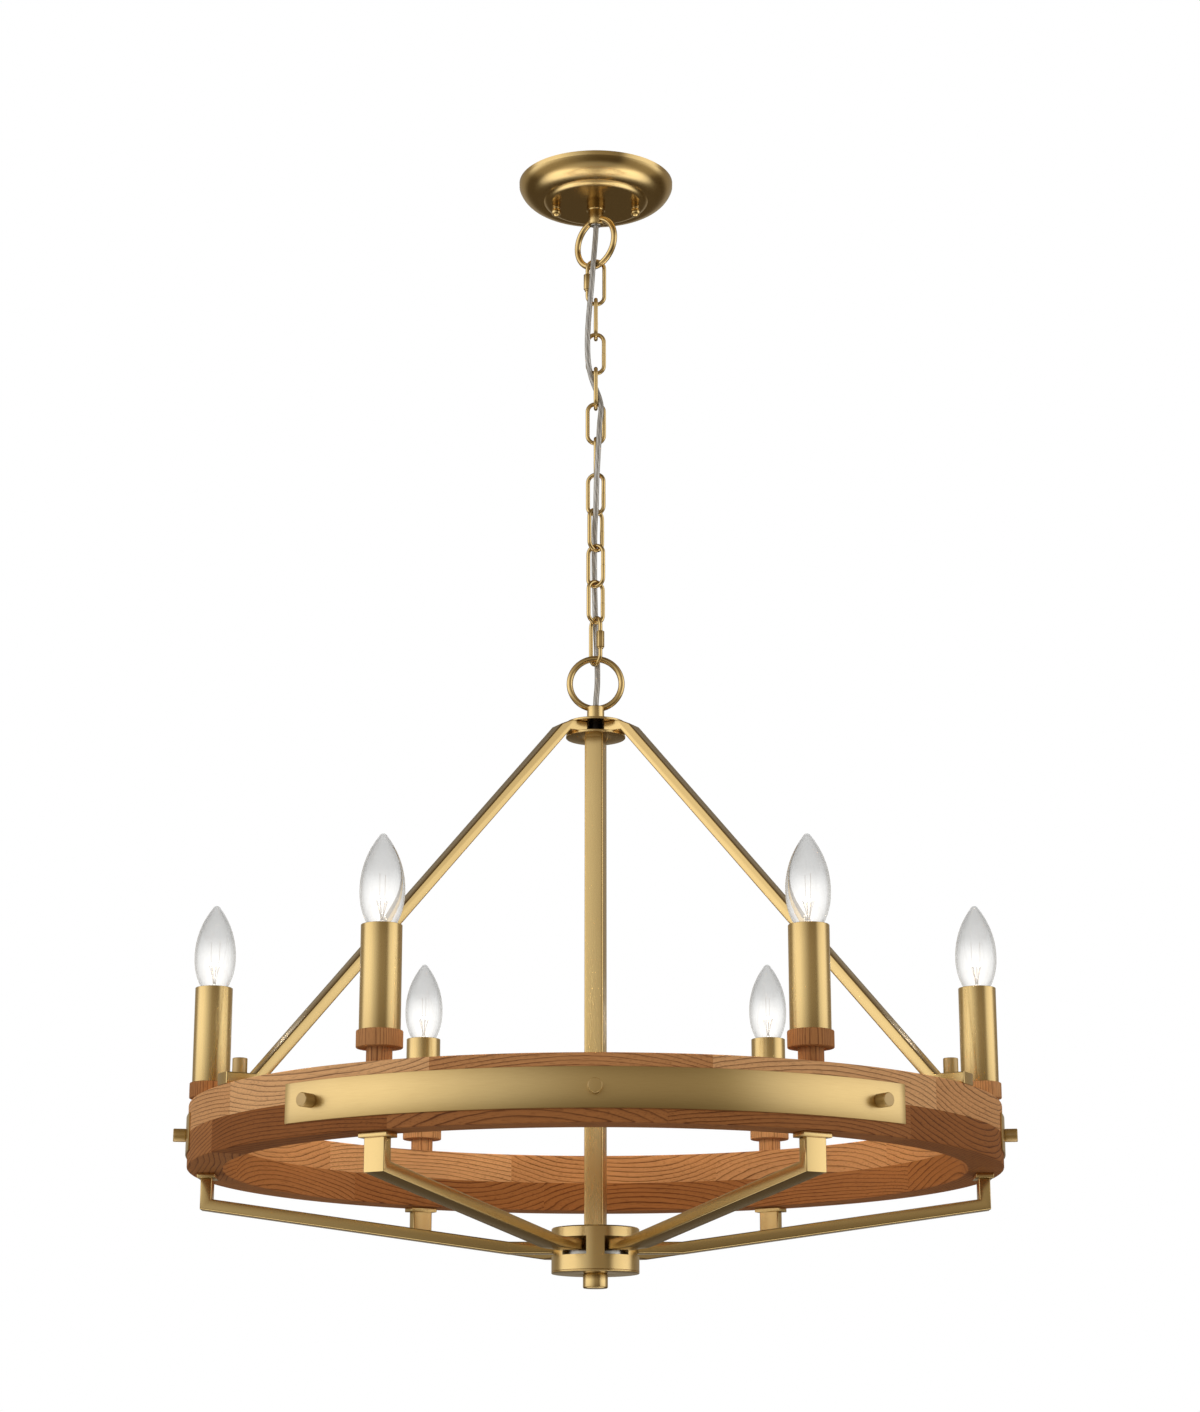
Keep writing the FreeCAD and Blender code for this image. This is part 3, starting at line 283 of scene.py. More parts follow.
def add_light(name, kind, spot, watts):
    """Light that the camera, reflections and clear glass don't show."""
    data = bpy.data.lights.new(name, kind)
    data.energy = watts
    light = add_object(name, data, spot)
    light.visible_camera = light.visible_glossy = light.visible_transmission = False
    return light


def finish_piece(name, bm, look, body, replaces=(), sharp=38.0):
    """Makes the mesh an object, shades it and lets it ride on its body."""
    for face in bm.faces:
        face.smooth = True
    for edge in bm.edges:
        edge.smooth = len(edge.link_faces) != 2 or math.degrees(edge.calc_face_angle(0)) < sharp
    mesh = bpy.data.meshes.new(name)
    bm.to_mesh(mesh)
    bm.free()
    mesh.materials.append(finish(look))
    piece = add_object(name, mesh)
    if body:
        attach(piece, body)
    if replaces:
        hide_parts(*replaces)
    return piece


def brass(name, bm, node, body="light_frame", look="satin_brass"):
    """Brass piece that stands in for a CAD node."""
    return finish_piece(name, bm, look, body, (node,))


def dress(look, *names):
    """Gives CAD nodes that stay in view a better finish."""
    for name in names:
        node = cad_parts[name]
        if not node.data.materials:
            node.data.materials.append(finish(look))
        for slot in node.material_slots:
            slot.material = finish(look)


# ---- finishes ----

def put(tree, kind, inputs=None, **settings):
    """Adds a shader node, with its settings, and feeds its sockets."""
    made = tree.nodes.new(kind)
    for key, value in settings.items():
        setattr(made, key, value)
    for key, value in (inputs or {}).items():
        if isinstance(value, bpy.types.NodeSocket):
            tree.links.new(value, made.inputs[key])
        else:
            made.inputs[key].default_value = value
    return made


def calc(tree, operation, *values, clamp=False):
    made = put(tree, "ShaderNodeMath", dict(enumerate(values)), operation=operation)
    made.use_clamp = clamp
    return made.outputs[0]


def times(tree, *values, clamp=False):
    return calc(tree, "MULTIPLY", *values, clamp=clamp)


def madd(tree, *values, clamp=False):
    """The first value times the second, plus the third."""
    return calc(tree, "MULTIPLY_ADD", *values, clamp=clamp)


def rgba(colour, share=1.0):
    """Colour with its alpha, darkened to a share."""
    return tuple(c * share for c in colour) + (1,)


def blend_colour(tree, share, first, second, blend_type="MIX"):
    made = put(tree, "ShaderNodeMix", {0: share, 6: first, 7: second}, data_type="RGBA",
               blend_type=blend_type)
    return made.outputs[2]


def stops(tree, share, marks):
    """Ramp with (place, grey or colour) stops."""
    ramp = put(tree, "ShaderNodeValToRGB", {0: share})
    spots = ramp.color_ramp.elements
    while len(spots) < len(marks):
        spots.new(0.5)
    for spot, (where, tone) in zip(spots, marks):
        spot.position = where
        spot.color = (tone, tone, tone, 1) if isinstance(tone, float) else (*tone, 1)
    return ramp.outputs[0]


def mapped(tree, vector, scale, location=(0, 0, 0)):
    return put(tree, "ShaderNodeMapping", {"Vector": vector, "Scale": scale,
                                           "Location": location}).outputs[0]


def noise(tree, vector, scale, detail=2.0, rough=0.5):
    return put(tree, "ShaderNodeTexNoise", {"Vector": vector, "Scale": scale, "Detail": detail,
                                            "Roughness": rough}).outputs[0]


def new_finish(name, constants):
    """Material round one shader, whose own sockets take the constants."""
    material = bpy.data.materials.new(name)
    material.use_nodes = True
    tree = material.node_tree
    tree.nodes.clear()
    shader = put(tree, "ShaderNodeBsdfPrincipled", constants)
    out = put(tree, "ShaderNodeOutputMaterial", {"Surface": shader.outputs[0]})
    spot = put(tree, "ShaderNodeTexCoord").outputs["Object"]
    return material, tree, shader, out, spot


def feed(tree, shader, **sockets):
    names = {"colour": "Base Color", "rough": "Roughness", "normal": "Normal",
             "glow": "Emission Strength", "light": "Emission Color"}
    for key, value in sockets.items():
        tree.links.new(value, shader.inputs[names[key]])


def bump(tree, height, depth, strength=0.5):
    return put(tree, "ShaderNodeBump", {"Height": height, "Distance": depth,
                                        "Strength": strength}).outputs[0]


def satin_brass(name, rough=0.21, lines=0.03, streak=(9.0, 9.0, 9.0)):
    """Lacquered brass: soft highlights, faint clouds and fine rubbed lines."""
    material, tree, shader, _, spot = new_finish(name, {
        "Metallic": 1.0, "Coat Weight": 0.6, "Coat IOR": 1.7, "Coat Roughness": 0.2})
    tone = rgba(colours().brass)
    shade = tuple(c * s for c, s in zip(colours().brass, (0.84, 0.78, 0.68))) + (1,)
    clouds = noise(tree, spot, 16.0, 3.0)
    rub = noise(tree, mapped(tree, spot, streak), 100.0, 3.0, 0.6)
    share = madd(tree, rub, 2 * lines, times(tree, clouds, 0.40))
    colour = blend_colour(tree, calc(tree, "SUBTRACT", share, lines, clamp=True), tone, shade)
    soft = madd(tree, rub, 0.05, rough - 0.03)
    feed(tree, shader, colour=colour, rough=madd(tree, clouds, 0.04, soft),
         normal=bump(tree, rub, 0.0000008))
    return material


def wood(name, ring_size, light_share=1.0, wander=0.0018):
    """Open grained wood: dark late wood lines round a pith, pores and slow colour drift.

    The board attribute follows each board, with X along the grain and the pith at the middle
    of Y and Z.
    """
    material, tree, shader, _, _ = new_finish(name, {"Specular IOR Level": 0.14})
    grain = put(tree, "ShaderNodeAttribute", attribute_name="board").outputs["Vector"]
    tint = put(tree, "ShaderNodeAttribute", attribute_name="tint").outputs["Fac"]
    _, y, z = put(tree, "ShaderNodeSeparateXYZ", {0: grain}).outputs

    def figure(scale, detail, rough=0.5, shift=(0, 0, 0)):
        return noise(tree, mapped(tree, grain, scale, shift), 1.0, detail, rough)

    slow, quick = figure((4, 14, 14), 2.0), figure((22, 160, 160), 2.0)
    radius = calc(tree, "SQRT", madd(tree, y, y, times(tree, z, z)))
    radius = madd(tree, slow, 10 * wander, radius)
    radius = madd(tree, quick, wander * 0.8, radius)
    ring = calc(tree, "FRACT", calc(tree, "DIVIDE", radius, getattr(sizes(), ring_size)))
    line = stops(tree, ring, [(0.0, 0.30), (0.07, 0.03), (0.50, 0.06), (0.76, 0.20),
                              (0.88, 0.92), (0.95, 1.0), (1.0, 0.30)])
    fade = figure((14, 70, 70), 1.0, shift=(3, 1, 2))
    line = times(tree, line, madd(tree, fade, 1.1, 0.30), clamp=True)
    pores = figure((110, 1500, 1500), 1.0)
    pores = stops(tree, pores, [(0.56, 0.0), (0.68, 1.0)])
    pores = times(tree, pores, madd(tree, line, 0.5, 0.42))
    fibre = figure((60, 800, 800), 3.0, 0.7, (1, 5, 3))
    dark = rgba(colours().wood_dark)
    colour = blend_colour(tree, line, rgba(colours().wood_light, light_share), dark)
    colour = blend_colour(tree, times(tree, pores, 0.75), colour, dark)
    warm = put(tree, "ShaderNodeHueSaturation", {
        "Hue": madd(tree, tint, 0.016, 0.492),
        "Saturation": madd(tree, tint, -0.16, 1.06),
        "Value": madd(tree, tint, 0.58, 0.58), "Color": colour}).outputs[0]
    haze = madd(tree, fibre, 0.34, 0.83)
    colour = put(tree, "ShaderNodeHueSaturation", {"Value": haze, "Color": warm}).outputs[0]
    height = calc(tree, "SUBTRACT", times(tree, fibre, 0.3), madd(tree, line, 0.35, pores))
    feed(tree, shader, colour=colour, rough=madd(tree, fibre, 0.16, 0.52),
         normal=bump(tree, height, 0.00016, 0.7))
    return material


def clear_glass(name):
    """Clear lamp glass, painted greyer towards its edges; the lamp's own light passes it."""
    material, tree, shader, out, spot = new_finish(name, {
        "Transmission Weight": 1.0, "IOR": 1.46, "Roughness": 0.0,
        "Emission Color": (1, 0.97, 0.93, 1)})
    smear = noise(tree, spot, 40.0, 2.0)
    side_on = put(tree, "ShaderNodeLayerWeight", {"Blend": 0.5}).outputs["Facing"]
    # Painted shade: the glass turns grey where its surface turns away from the view.
    depth = stops(tree, side_on, [(0.0, (0.80, 0.80, 0.795)), (0.20, (0.74, 0.74, 0.735)),
                                  (0.50, (0.62, 0.62, 0.615)), (0.75, (0.47, 0.47, 0.46)),
                                  (1.0, (0.27, 0.27, 0.265))])
    height = put(tree, "ShaderNodeSeparateXYZ", {0: spot}).outputs[2]
    glow = put(tree, "ShaderNodeMapRange", {"Value": height, "From Min": GLOW_TOP * MM,
                                            "From Max": SLEEVE_TOP * MM}).outputs[0]
    glow = stops(tree, glow, [(0.0, 0.0), (0.30, 0.10), (0.55, 0.75), (0.85, 1.0), (1.0, 0.8)])
    glow = times(tree, glow, calc(tree, "SUBTRACT", 0.75, side_on, clamp=True))
    # Faint smears over the painted edge shade.
    smear_and_edge_shade = blend_colour(tree, times(tree, smear, 0.35), depth, (0.93, 0.93, 0.925, 1))
    feed(tree, shader, colour=smear_and_edge_shade, glow=times(tree, glow, 0.22))
    way = put(tree, "ShaderNodeLightPath").outputs["Is Shadow Ray"]
    clear = put(tree, "ShaderNodeBsdfTransparent")
    mixed = put(tree, "ShaderNodeMixShader", {0: way, 1: shader.outputs[0], 2: clear.outputs[0]})
    tree.links.new(mixed.outputs[0], out.inputs["Surface"])
    return material


def lit_filament(name):
    """Glowing coil."""
    material, tree, shader, _, spot = new_finish(name, {"Emission Strength": 60.0})
    coil = noise(tree, spot, 3000.0, 1.0)
    feed(tree, shader, light=blend_colour(tree, coil, rgba(colours().lamp), (1, 0.9, 0.72, 1)))
    return material


def plain_finish(name, colour, rough, metallic=0.0, scale=90.0, depth=0.00003, spread=0.25):
    """Small hardware finish with a fine mottled surface."""
    material, tree, shader, _, spot = new_finish(name, {"Metallic": metallic})
    speck = noise(tree, spot, scale, 4.0, 0.6)
    feed(tree, shader, colour=blend_colour(tree, speck, rgba(colour), rgba(colour, 1 - spread)),
         rough=madd(tree, speck, 0.18, rough - 0.09),
         normal=bump(tree, speck, depth))
    return material


def clear_cord(name):
    """Clear jacket over two twisted bundles of tinned wire."""
    twist_length = 0.052
    material, tree, shader, _, _ = new_finish(name, {
        "Coat Weight": 1.0, "Coat Roughness": 0.12, "Metallic": 0.35})
    lay = put(tree, "ShaderNodeAttribute", attribute_name="lay").outputs["Vector"]
    parts = put(tree, "ShaderNodeSeparateXYZ", {0: lay}).outputs
    twist = times(tree, parts[2], 2 * math.pi / twist_length)
    wave = calc(tree, "SUBTRACT", times(tree, parts[1], calc(tree, "COSINE", twist)),
                times(tree, parts[0], calc(tree, "SINE", twist)))
    bundle = stops(tree, madd(tree, wave, 0.5, 0.5),
                   [(0.0, 0.25), (0.22, 1.0), (0.5, 0.12), (0.78, 1.0), (1.0, 0.25)])
    strand = noise(tree, mapped(tree, lay, (3.2, 3.2, 160)), 1.0, 2.0)
    share = times(tree, bundle, madd(tree, strand, 0.9, 0.35), clamp=True)
    tone = colours().cord
    feed(tree, shader, colour=blend_colour(tree, share, rgba(tone, 0.40), rgba(tone)),
         rough=madd(tree, strand, 0.2, 0.25),
         normal=bump(tree, share, 0.0001))
    return material


# What makes each finish, and its settings.
MAKERS = {
    "satin_brass": (satin_brass,),
    "brushed_band": (satin_brass, 0.33, 0.5, (0.7, 0.7, 26.0)),
    "drawn_brass": (satin_brass, 0.26, 0.3, (14.0, 14.0, 0.4)),
    "polished_brass": (satin_brass, 0.13),
    "turned_brass": (satin_brass, 0.62),
    "rim_wood": (wood, "growth_ring"),
    "cup_wood": (wood, "cup_ring", 0.92, 0.0004),
    "bulb_glass": (clear_glass,),
    "lit_filament": (lit_filament,),
    "clear_cord": (clear_cord,),
    "black_metal": (plain_finish, (0.018, 0.016, 0.015), 0.36, 0.6),
    "zinc_steel": (plain_finish, (0.62, 0.62, 0.60), 0.38, 1.0),
    "nickel_wire": (plain_finish, (0.45, 0.36, 0.25), 0.30, 1.0),
    "socket_plastic": (plain_finish, (0.78, 0.74, 0.66), 0.42),
    "base_metal": (plain_finish, (0.72, 0.66, 0.52), 0.28, 1.0),
    "pale_floor": (plain_finish, (0.80, 0.80, 0.80), 0.8, 0.0, 4.0, 0.0001, 0.03),
}
FINISHES = {}


def finish(name):
    """Each finish is made once, the first time that a piece needs it."""
    if name not in FINISHES:
        maker, *settings = MAKERS[name]
        FINISHES[name] = maker(name, *settings)
    return FINISHES[name]


# ---- the stage ----

CAMERA_SPOT = (0.0025, -2.5410, -1.1925)
CAMERA_TURN = (105.22, 0.0, -0.03)
CAMERA_LENS = 76.10
FLOOR_LEVEL = -2.0
LIGHT_AIM = Vector((0, 0, -0.75))

# Name, place, width, height and watts of each softbox, in metres.
SOFTBOXES = [
    ("key", (-2.0, -1.9, 0.15), 1.3, 1.7, 16),
    ("side", (2.1, -1.0, -0.35), 0.5, 1.7, 8),
    ("top", (0.3, 0.6, 1.6), 1.8, 1.8, 9),
    ("back", (-0.6, 2.2, -0.2), 1.4, 1.2, 8),
]

# The room that the brass mirrors. Its tones run from straight down to straight up, and round
# the light from behind it over the left, the camera and the right to behind it again.
ROOM_STRENGTH = 1.65
ROOM_HEIGHTS = [
    (0.0, (0.22, 0.19, 0.14)), (0.37, (0.26, 0.225, 0.17)), (0.48, (0.88, 0.88, 0.88)),
    (0.67, (0.98, 0.98, 0.98)), (0.82, (0.34, 0.29, 0.23)), (1.0, (0.20, 0.17, 0.13)),
]
ROOM_TURNS = [
    (0.0, (0.23, 0.20, 0.15)), (0.185, (0.23, 0.20, 0.15)), (0.235, 1.0), (0.34, 1.0),
    (0.43, 0.54), (0.49, (0.27, 0.24, 0.20)), (0.57, (0.24, 0.21, 0.17)),
    (0.605, (0.13, 0.11, 0.09)), (0.64, 0.80), (0.71, 1.0), (0.77, 1.0),
    (0.81, (0.20, 0.17, 0.13)), (1.0, (0.23, 0.20, 0.15)),
]

# Pale panels low on both sides, round one mirrored direction, and a faint ground below.
PANEL_WAY = (0.38, 0.18, -0.90)
PANEL_TONES = [(0.88, 0.0), (0.965, 0.9)]
GROUND_TONES = [(0.62, 0.0), (0.80, 0.2)]


class CHANDELIER_OT_stage(bpy.types.Operator):
    """Camera at the photograph's viewing angle, pale floor and soft studio light"""
    bl_idname = "chandelier.stage"
    bl_label = "Studio"

    def execute(self, context):
        scene = bpy.context.scene
        data = bpy.data.cameras.new("camera")
        data.lens = CAMERA_LENS
        data.clip_start, data.clip_end = 0.05, 50
        scene.camera = add_object("camera", data, CAMERA_SPOT)
        scene.camera.rotation_euler = [math.radians(angle) for angle in CAMERA_TURN]

        bm = bmesh.new()
        bmesh.ops.create_grid(bm, x_segments=1, y_segments=1, size=6.0)
        place(bm, Matrix.Translation((0, 0, FLOOR_LEVEL)))
        floor = finish_piece("floor", bm, "pale_floor", None)
        floor.visible_glossy = False

        for name, spot, width, height, watts in SOFTBOXES:
            light = add_light(name, "AREA", spot, watts)
            light.data.shape, light.data.size, light.data.size_y = "RECTANGLE", width, height
            light.rotation_euler = (LIGHT_AIM - Vector(spot)).to_track_quat("-Z", "Y").to_euler()
        self.room(scene)
        scene.view_settings.view_transform = "Standard"
        return {"FINISHED"}

    def room(self, scene):
        """World that the brass mirrors. The camera and the clear glass see it as white."""
        world = bpy.data.worlds.new("studio")
        scene.world = world
        world.use_nodes = True
        tree = world.node_tree
        tree.nodes.clear()
        way = put(tree, "ShaderNodeTexCoord").outputs["Generated"]
        side, front, height = put(tree, "ShaderNodeSeparateXYZ", {0: way}).outputs
        tones = stops(tree, madd(tree, height, 0.5, 0.5), ROOM_HEIGHTS)
        turn = calc(tree, "ARCTAN2", side, times(tree, front, -1.0))
        wall = stops(tree, madd(tree, turn, 0.5 / math.pi, 0.5), ROOM_TURNS)
        tones = blend_colour(tree, 1.0, tones, wall, "MULTIPLY")
        out, back, down = PANEL_WAY
        low = madd(tree, height, down, times(tree, front, back))
        low = madd(tree, calc(tree, "ABSOLUTE", side), out, low)
        panels = stops(tree, low, PANEL_TONES)
        ground = stops(tree, times(tree, height, -1.0), GROUND_TONES)
        for extra in (panels, ground):
            tones = blend_colour(tree, 1.0, tones, extra, "ADD")
        path = put(tree, "ShaderNodeLightPath").outputs
        seen = calc(tree, "MAXIMUM", path["Is Camera Ray"], path["Is Transmission Ray"])
        room = put(tree, "ShaderNodeBackground", {"Color": tones, "Strength": ROOM_STRENGTH})
        white = put(tree, "ShaderNodeBackground", {"Color": (1, 1, 1, 1), "Strength": 1.0})
        mixed = put(tree, "ShaderNodeMixShader", {0: seen, 1: room.outputs[0],
                                                  2: white.outputs[0]})
        put(tree, "ShaderNodeOutputWorld", {"Surface": mixed.outputs[0]})


# ---- cord ----

class CHANDELIER_OT_cord(bpy.types.Operator):
    """Clear cord that winds down through the chain, one span at each hinge"""
    bl_idname = "chandelier.cord"
    bl_label = "Cord"
    reach = 9.0  # distance above and below its hinge, in mm

    def execute(self, context):
        line = self.route_line()
        cuts = [(a + b) / 2 * MM for a, b in zip(PIVOTS, PIVOTS[1:])]
        start, travelled = 0, 0.0
        for n, pivot in enumerate(PIVOTS):
            end = len(line) - 1
            if n < len(cuts):
                end = min(i for i, p in enumerate(line) if p.z <= cuts[n])
            points = line[start:end + 1]
            piece = self.span(n, points, travelled)
            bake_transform(piece)
            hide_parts("cord")
            length = sum((b - a).length for a, b in zip(points, points[1:]))
            travelled += length
            start = end
        return {"FINISHED"}

    def route_line(self):
        """Points of the smooth line that the route's corners draw."""
        curve = bpy.data.curves.new("cord_route", "CURVE")
        curve.dimensions = "3D"
        curve.resolution_u = 8
        spline = curve.splines.new("NURBS")
        corners = CORD_TOP + [(x, y, on_chain(n)) for x, y, n in CORD_ROUTE] + CORD_END
        spline.points.add(len(corners) - 1)
        for point, (x, y, z) in zip(spline.points, corners):
            point.co = (x * MM, y * MM, z * MM, 1)
        spline.order_u = 3
        spline.use_endpoint_u = True
        holder = bpy.data.objects.new("cord_route", curve)
        mesh = bpy.data.meshes.new_from_object(holder)
        line = [v.co.copy() for v in mesh.vertices]
        bpy.data.objects.remove(holder)
        bpy.data.meshes.remove(mesh)
        return line

    def span(self, n, points, travelled):
        """Tube along part of the route, with its lay attribute: place across and length."""
        bm = bmesh.new()
        tube_on(bm, points, CORD_THICK * MM, 20, caps=False)
        layer = bm.verts.layers.float_vector.new("lay")
        lengths = [travelled]
        for a, b in zip(points, points[1:]):
            lengths.append(lengths[-1] + (b - a).length)
        for vert in bm.verts:
            near = min(range(len(points)), key=lambda i: (points[i] - vert.co).length_squared)
            out = (vert.co - points[near]) / (CORD_THICK / 2 * MM)
            vert[layer] = (out.x, out.y, lengths[near])
        if n in (0, len(PIVOTS) - 1):
            level = (max if n == 0 else min)(v.co.z for v in bm.verts)
            bmesh.ops.edgeloop_fill(bm, edges=[e for e in bm.edges if e.is_boundary
                                               and abs(e.verts[0].co.z - level) < 2 * MM])
        close_up(bm)
        return finish_piece(f"cord_span_{n + 1}", bm, "clear_cord", None)


# ---- ceiling group ----

class CHANDELIER_OT_canopy(bpy.types.Operator):
    """Canopy dish with its nuts and stem, and the fixings above it"""
    bl_idname = "chandelier.canopy"
    bl_label = "Canopy"

    def execute(self, context):
        dress("satin_brass", "canopy", "canopy_stem")
        dress("polished_brass", "canopy_ball_nuts", "canopy_ring_nut")
        dress("zinc_steel", "ceiling_crossbar", "canopy_studs", "canopy_lock_nut")
        return {"FINISHED"}


class CHANDELIER_OT_loops(bpy.types.Operator):
    """Round wire rings with their collars, below the canopy and above the arms"""
    bl_idname = "chandelier.loops"
    bl_label = "Loops"

    def execute(self, context):
        canopy_end = heights("canopy_loop")[1]
        disc_top = heights("hub_loop")[0]
        self.loop("top_loop", "canopy_loop", "ceiling_group", middle=-59.3, turn=-43,
                  collar=14.0, low=CORD_EXIT, high=canopy_end)
        self.loop("hub_ring", "hub_loop", "light_frame", middle=-481.0, turn=0,
                  collar=15.2, low=disc_top, high=-502.3)
        bm = turned_part(2.7, 4.7, CORD_EXIT - 1, CORD_EXIT, 0.3 * MM, 2, 40)
        finish_piece("cord_bushing", bm, "zinc_steel", "ceiling_group",
                     ("canopy_loop",))
        return {"FINISHED"}

    def loop(self, name, node, body, middle, turn, collar, low, high):
        wire, radius, bore = 5.6, 22.9, 2.65
        bm = bmesh.new()
        verts, edges = wire_circle(bm, wire * MM, Vector((radius * MM, 0, 0)), UP, 24)
        bmesh.ops.spin(bm, geom=verts + edges, cent=(0, 0, 0), axis=(0, 1, 0),
                       angle=2 * math.pi, steps=96, use_merge=True)
        place(bm, turned(turn, 0, middle))
        close_up(bm)
        brass(name, bm, node, body)
        brass(name + "_collar", turned_part(bore, collar / 2, low, high, 0.7 * MM, 4), node, body)


# ---- chain ----

def wire_link(length, width, wire, steps=20, rounds=28):
    """Link of round wire: two straight legs and two half turns, standing in XZ."""
    radius = (width - wire) / 2
    leg = length - wire - 2 * radius
    bm = bmesh.new()
    verts, edges = wire_circle(bm, wire * MM, Vector((radius * MM, 0, -leg / 2 * MM)), UP, steps)

    def straight(edges, way):
        verts, edges = split(bmesh.ops.extrude_edge_only(bm, edges=edges)["geom"])
        bmesh.ops.translate(bm, verts=verts, vec=(0, 0, way * leg * MM))
        return verts, edges

    def half_turn(geom, height):
        return split(bmesh.ops.spin(bm, geom=geom, cent=(0, 0, height * MM), axis=(0, -1, 0),
                                    angle=math.pi, steps=rounds)["geom_last"])

    verts, edges = straight(edges, 1)
    verts, edges = half_turn(verts + edges, leg / 2)
    verts, edges = straight(edges, -1)
    half_turn(verts + edges, -leg / 2)
    close_up(bm, 1e-5)
    return bm


class CHANDELIER_OT_chain(bpy.types.Operator):
    """Nine welded wire links"""
    bl_idname = "chandelier.chain"
    bl_label = "Chain links"

    # Heights of the weld's cuts from the middle of the leg in mm, and how far each one stands
    # out as a share of the weld size.
    cuts = ((-0.9, 0.25), (-0.28, 0.25), (0.0, -1.0), (0.28, 0.25), (0.9, 0.25))

    def execute(self, context):
        for n, turn in enumerate(LINK_TURNS, 1):
            node = f"chain_link_{n}"
            bm = wire_link(*LINK_SIZE)
            self.weld(bm)
            place(bm, turned(turn, 0, sum(heights(node)) / 2))
            brass(f"link_{n}", bm, node, node + "_body")
        return {"FINISHED"}

    def weld(self, bm):
        """Butt seam across one leg: a groove between two soft shoulders."""
        leg_x = (LINK_SIZE[1] - LINK_SIZE[2]) / 2 * MM
        for offset, grow in self.cuts:
            cut = bmesh.ops.bisect_plane(
                bm, geom=[g for g in (*bm.verts, *bm.edges, *bm.faces) if self.on_leg(g)],
                plane_co=(0, 0, offset * MM), plane_no=UP, dist=1e-7)["geom_cut"]
            middle = Vector((leg_x, 0, offset * MM))
            for vert in split(cut)[0]:
                vert.co += (vert.co - middle).normalized() * sizes().weld * grow

    def on_leg(self, geom):
        verts = [geom] if isinstance(geom, bmesh.types.BMVert) else geom.verts
        return all(v.co.x > 4 * MM for v in verts)


class CHANDELIER_OT_quick_links(bpy.types.Operator):
    """Quick links that join the chain to both rings, with their closing nuts"""
    bl_idname = "chandelier.quick_links"
    bl_label = "Quick links"

    nut_length, nut_flats = 15.0, 6.3

    def execute(self, context):
        leg = (QUICK_SIZE[1] - QUICK_SIZE[2]) / 2
        for name, turn, side in (("upper_quick_link", 6, -1), ("lower_quick_link", -57, 1)):
            middle = sum(heights(name)) / 2
            on_leg = turned(turn) @ Matrix.Translation((side * leg * MM, 0, middle * MM))
            bm = wire_link(*QUICK_SIZE)
            place(bm, turned(turn, 0, middle))
            brass(name + "_wire", bm, name, name + "_body")
            bm = turned_part(1.75, 2.7, -8.7, -self.nut_length / 2, 0.3 * MM, 2, 32)
            place(bm, on_leg)
            brass(name + "_shoulder", bm, name, name + "_body")
            bm = bmesh.new()
            corner = self.nut_flats / math.sqrt(3) * MM
            bmesh.ops.create_cone(bm, cap_ends=True, segments=6, radius1=corner,
                                  radius2=corner, depth=self.nut_length * MM)
            round_edges(bm, 0.5 * MM)
            place(bm, on_leg @ Matrix.Rotation(math.radians(30), 4, "Z"))
            brass(name + "_sleeve_nut", bm, name + "_nut", name + "_nut_body")
        return {"FINISHED"}


# ---- upper hub, arms, post and lower hub ----

class CHANDELIER_OT_upper_hub(bpy.types.Operator):
    """Two discs that clamp the three upper arms round a dark spacer"""
    bl_idname = "chandelier.upper_hub"
    bl_label = "Upper hub"

    def execute(self, context):
        for name in ("hub_top_disc", "hub_bottom_disc"):
            bm = turned_part(TUBE_RADIUS, 26.15, *heights(name), sizes().plate_edge, steps=96)
            brass(name + "_plate", bm, name)
        dress("black_metal", "hub_spacer")
        dress("satin_brass", "stem_tube")
        return {"FINISHED"}


def bent_bar(outline, width, edge):
    """Side outline in mm, made as thick as the tube's width, with rounded corners."""
    bm = bmesh.new()
    verts = [bm.verts.new((r * MM, -width / 2 * MM, z * MM)) for r, z in outline]
    face = bm.faces.new(verts)
    moved, _ = split(bmesh.ops.extrude_face_region(bm, geom=[face])["geom"])
    bmesh.ops.translate(bm, verts=moved, vec=(0, width * MM, 0))
    close_up(bm)
    round_edges(bm, edge, test=lambda e: abs(e.verts[0].co.y - e.verts[1].co.y) < 1e-6)
    return bm


def meet(first, second):
    """Where two lines cross; each is (radius, height, slope)."""
    r1, z1, a1 = first
    r2, z2, a2 = second
    share = ((r2 - r1) * math.sin(a2) - (z2 - z1) * math.cos(a2)) / math.sin(a2 - a1)
    return r1 + share * math.cos(a1), z1 + share * math.sin(a1)


def shifted(line, distance):
    """A line moved sideways, to the left of the way that it points."""
    r, z, a = line
    return r - distance * math.sin(a), z + distance * math.cos(a), a


def bar_outline(lines, facet=None):
    """Corners of a bent bar: both sides of its centre lines, from the first cut to the last."""
    first, *middle, last = lines
    sides = []
    for half in (ARM_TALL / 2, -ARM_TALL / 2):
        edges = [first, *(shifted(line, half) for line in middle), last]
        if facet and half > 0:
            edges.insert(2, facet)
        sides.append([meet(a, b) for a, b in zip(edges, edges[1:])])
    return sides[0] + sides[1][::-1]


def upper_arm_outline():
    """Stub between the discs, a faceted bend, the long slope and the foot on the rim."""
    start, upper_bend, lower_bend, facet_length = 13.2, 32.6, 315.7, 6.3
    half = ARM_TALL / 2
    stub_z, foot_z = heights("hub_bottom_disc")[1] + half, RIM_TOP + half
    slope = math.atan2(foot_z - stub_z, lower_bend - upper_bend)
    stub, incline = (upper_bend, stub_z, 0.0), (upper_bend, stub_z, slope)
    corner = meet(shifted(stub, half), shifted(incline, half))
    return bar_outline([(start, stub_z, math.pi / 2), stub, incline, (lower_bend, foot_z, 0.0),
                        (RIM_RADIUS, foot_z, math.pi / 2)],
                       (corner[0] - facet_length, corner[1], slope / 2))


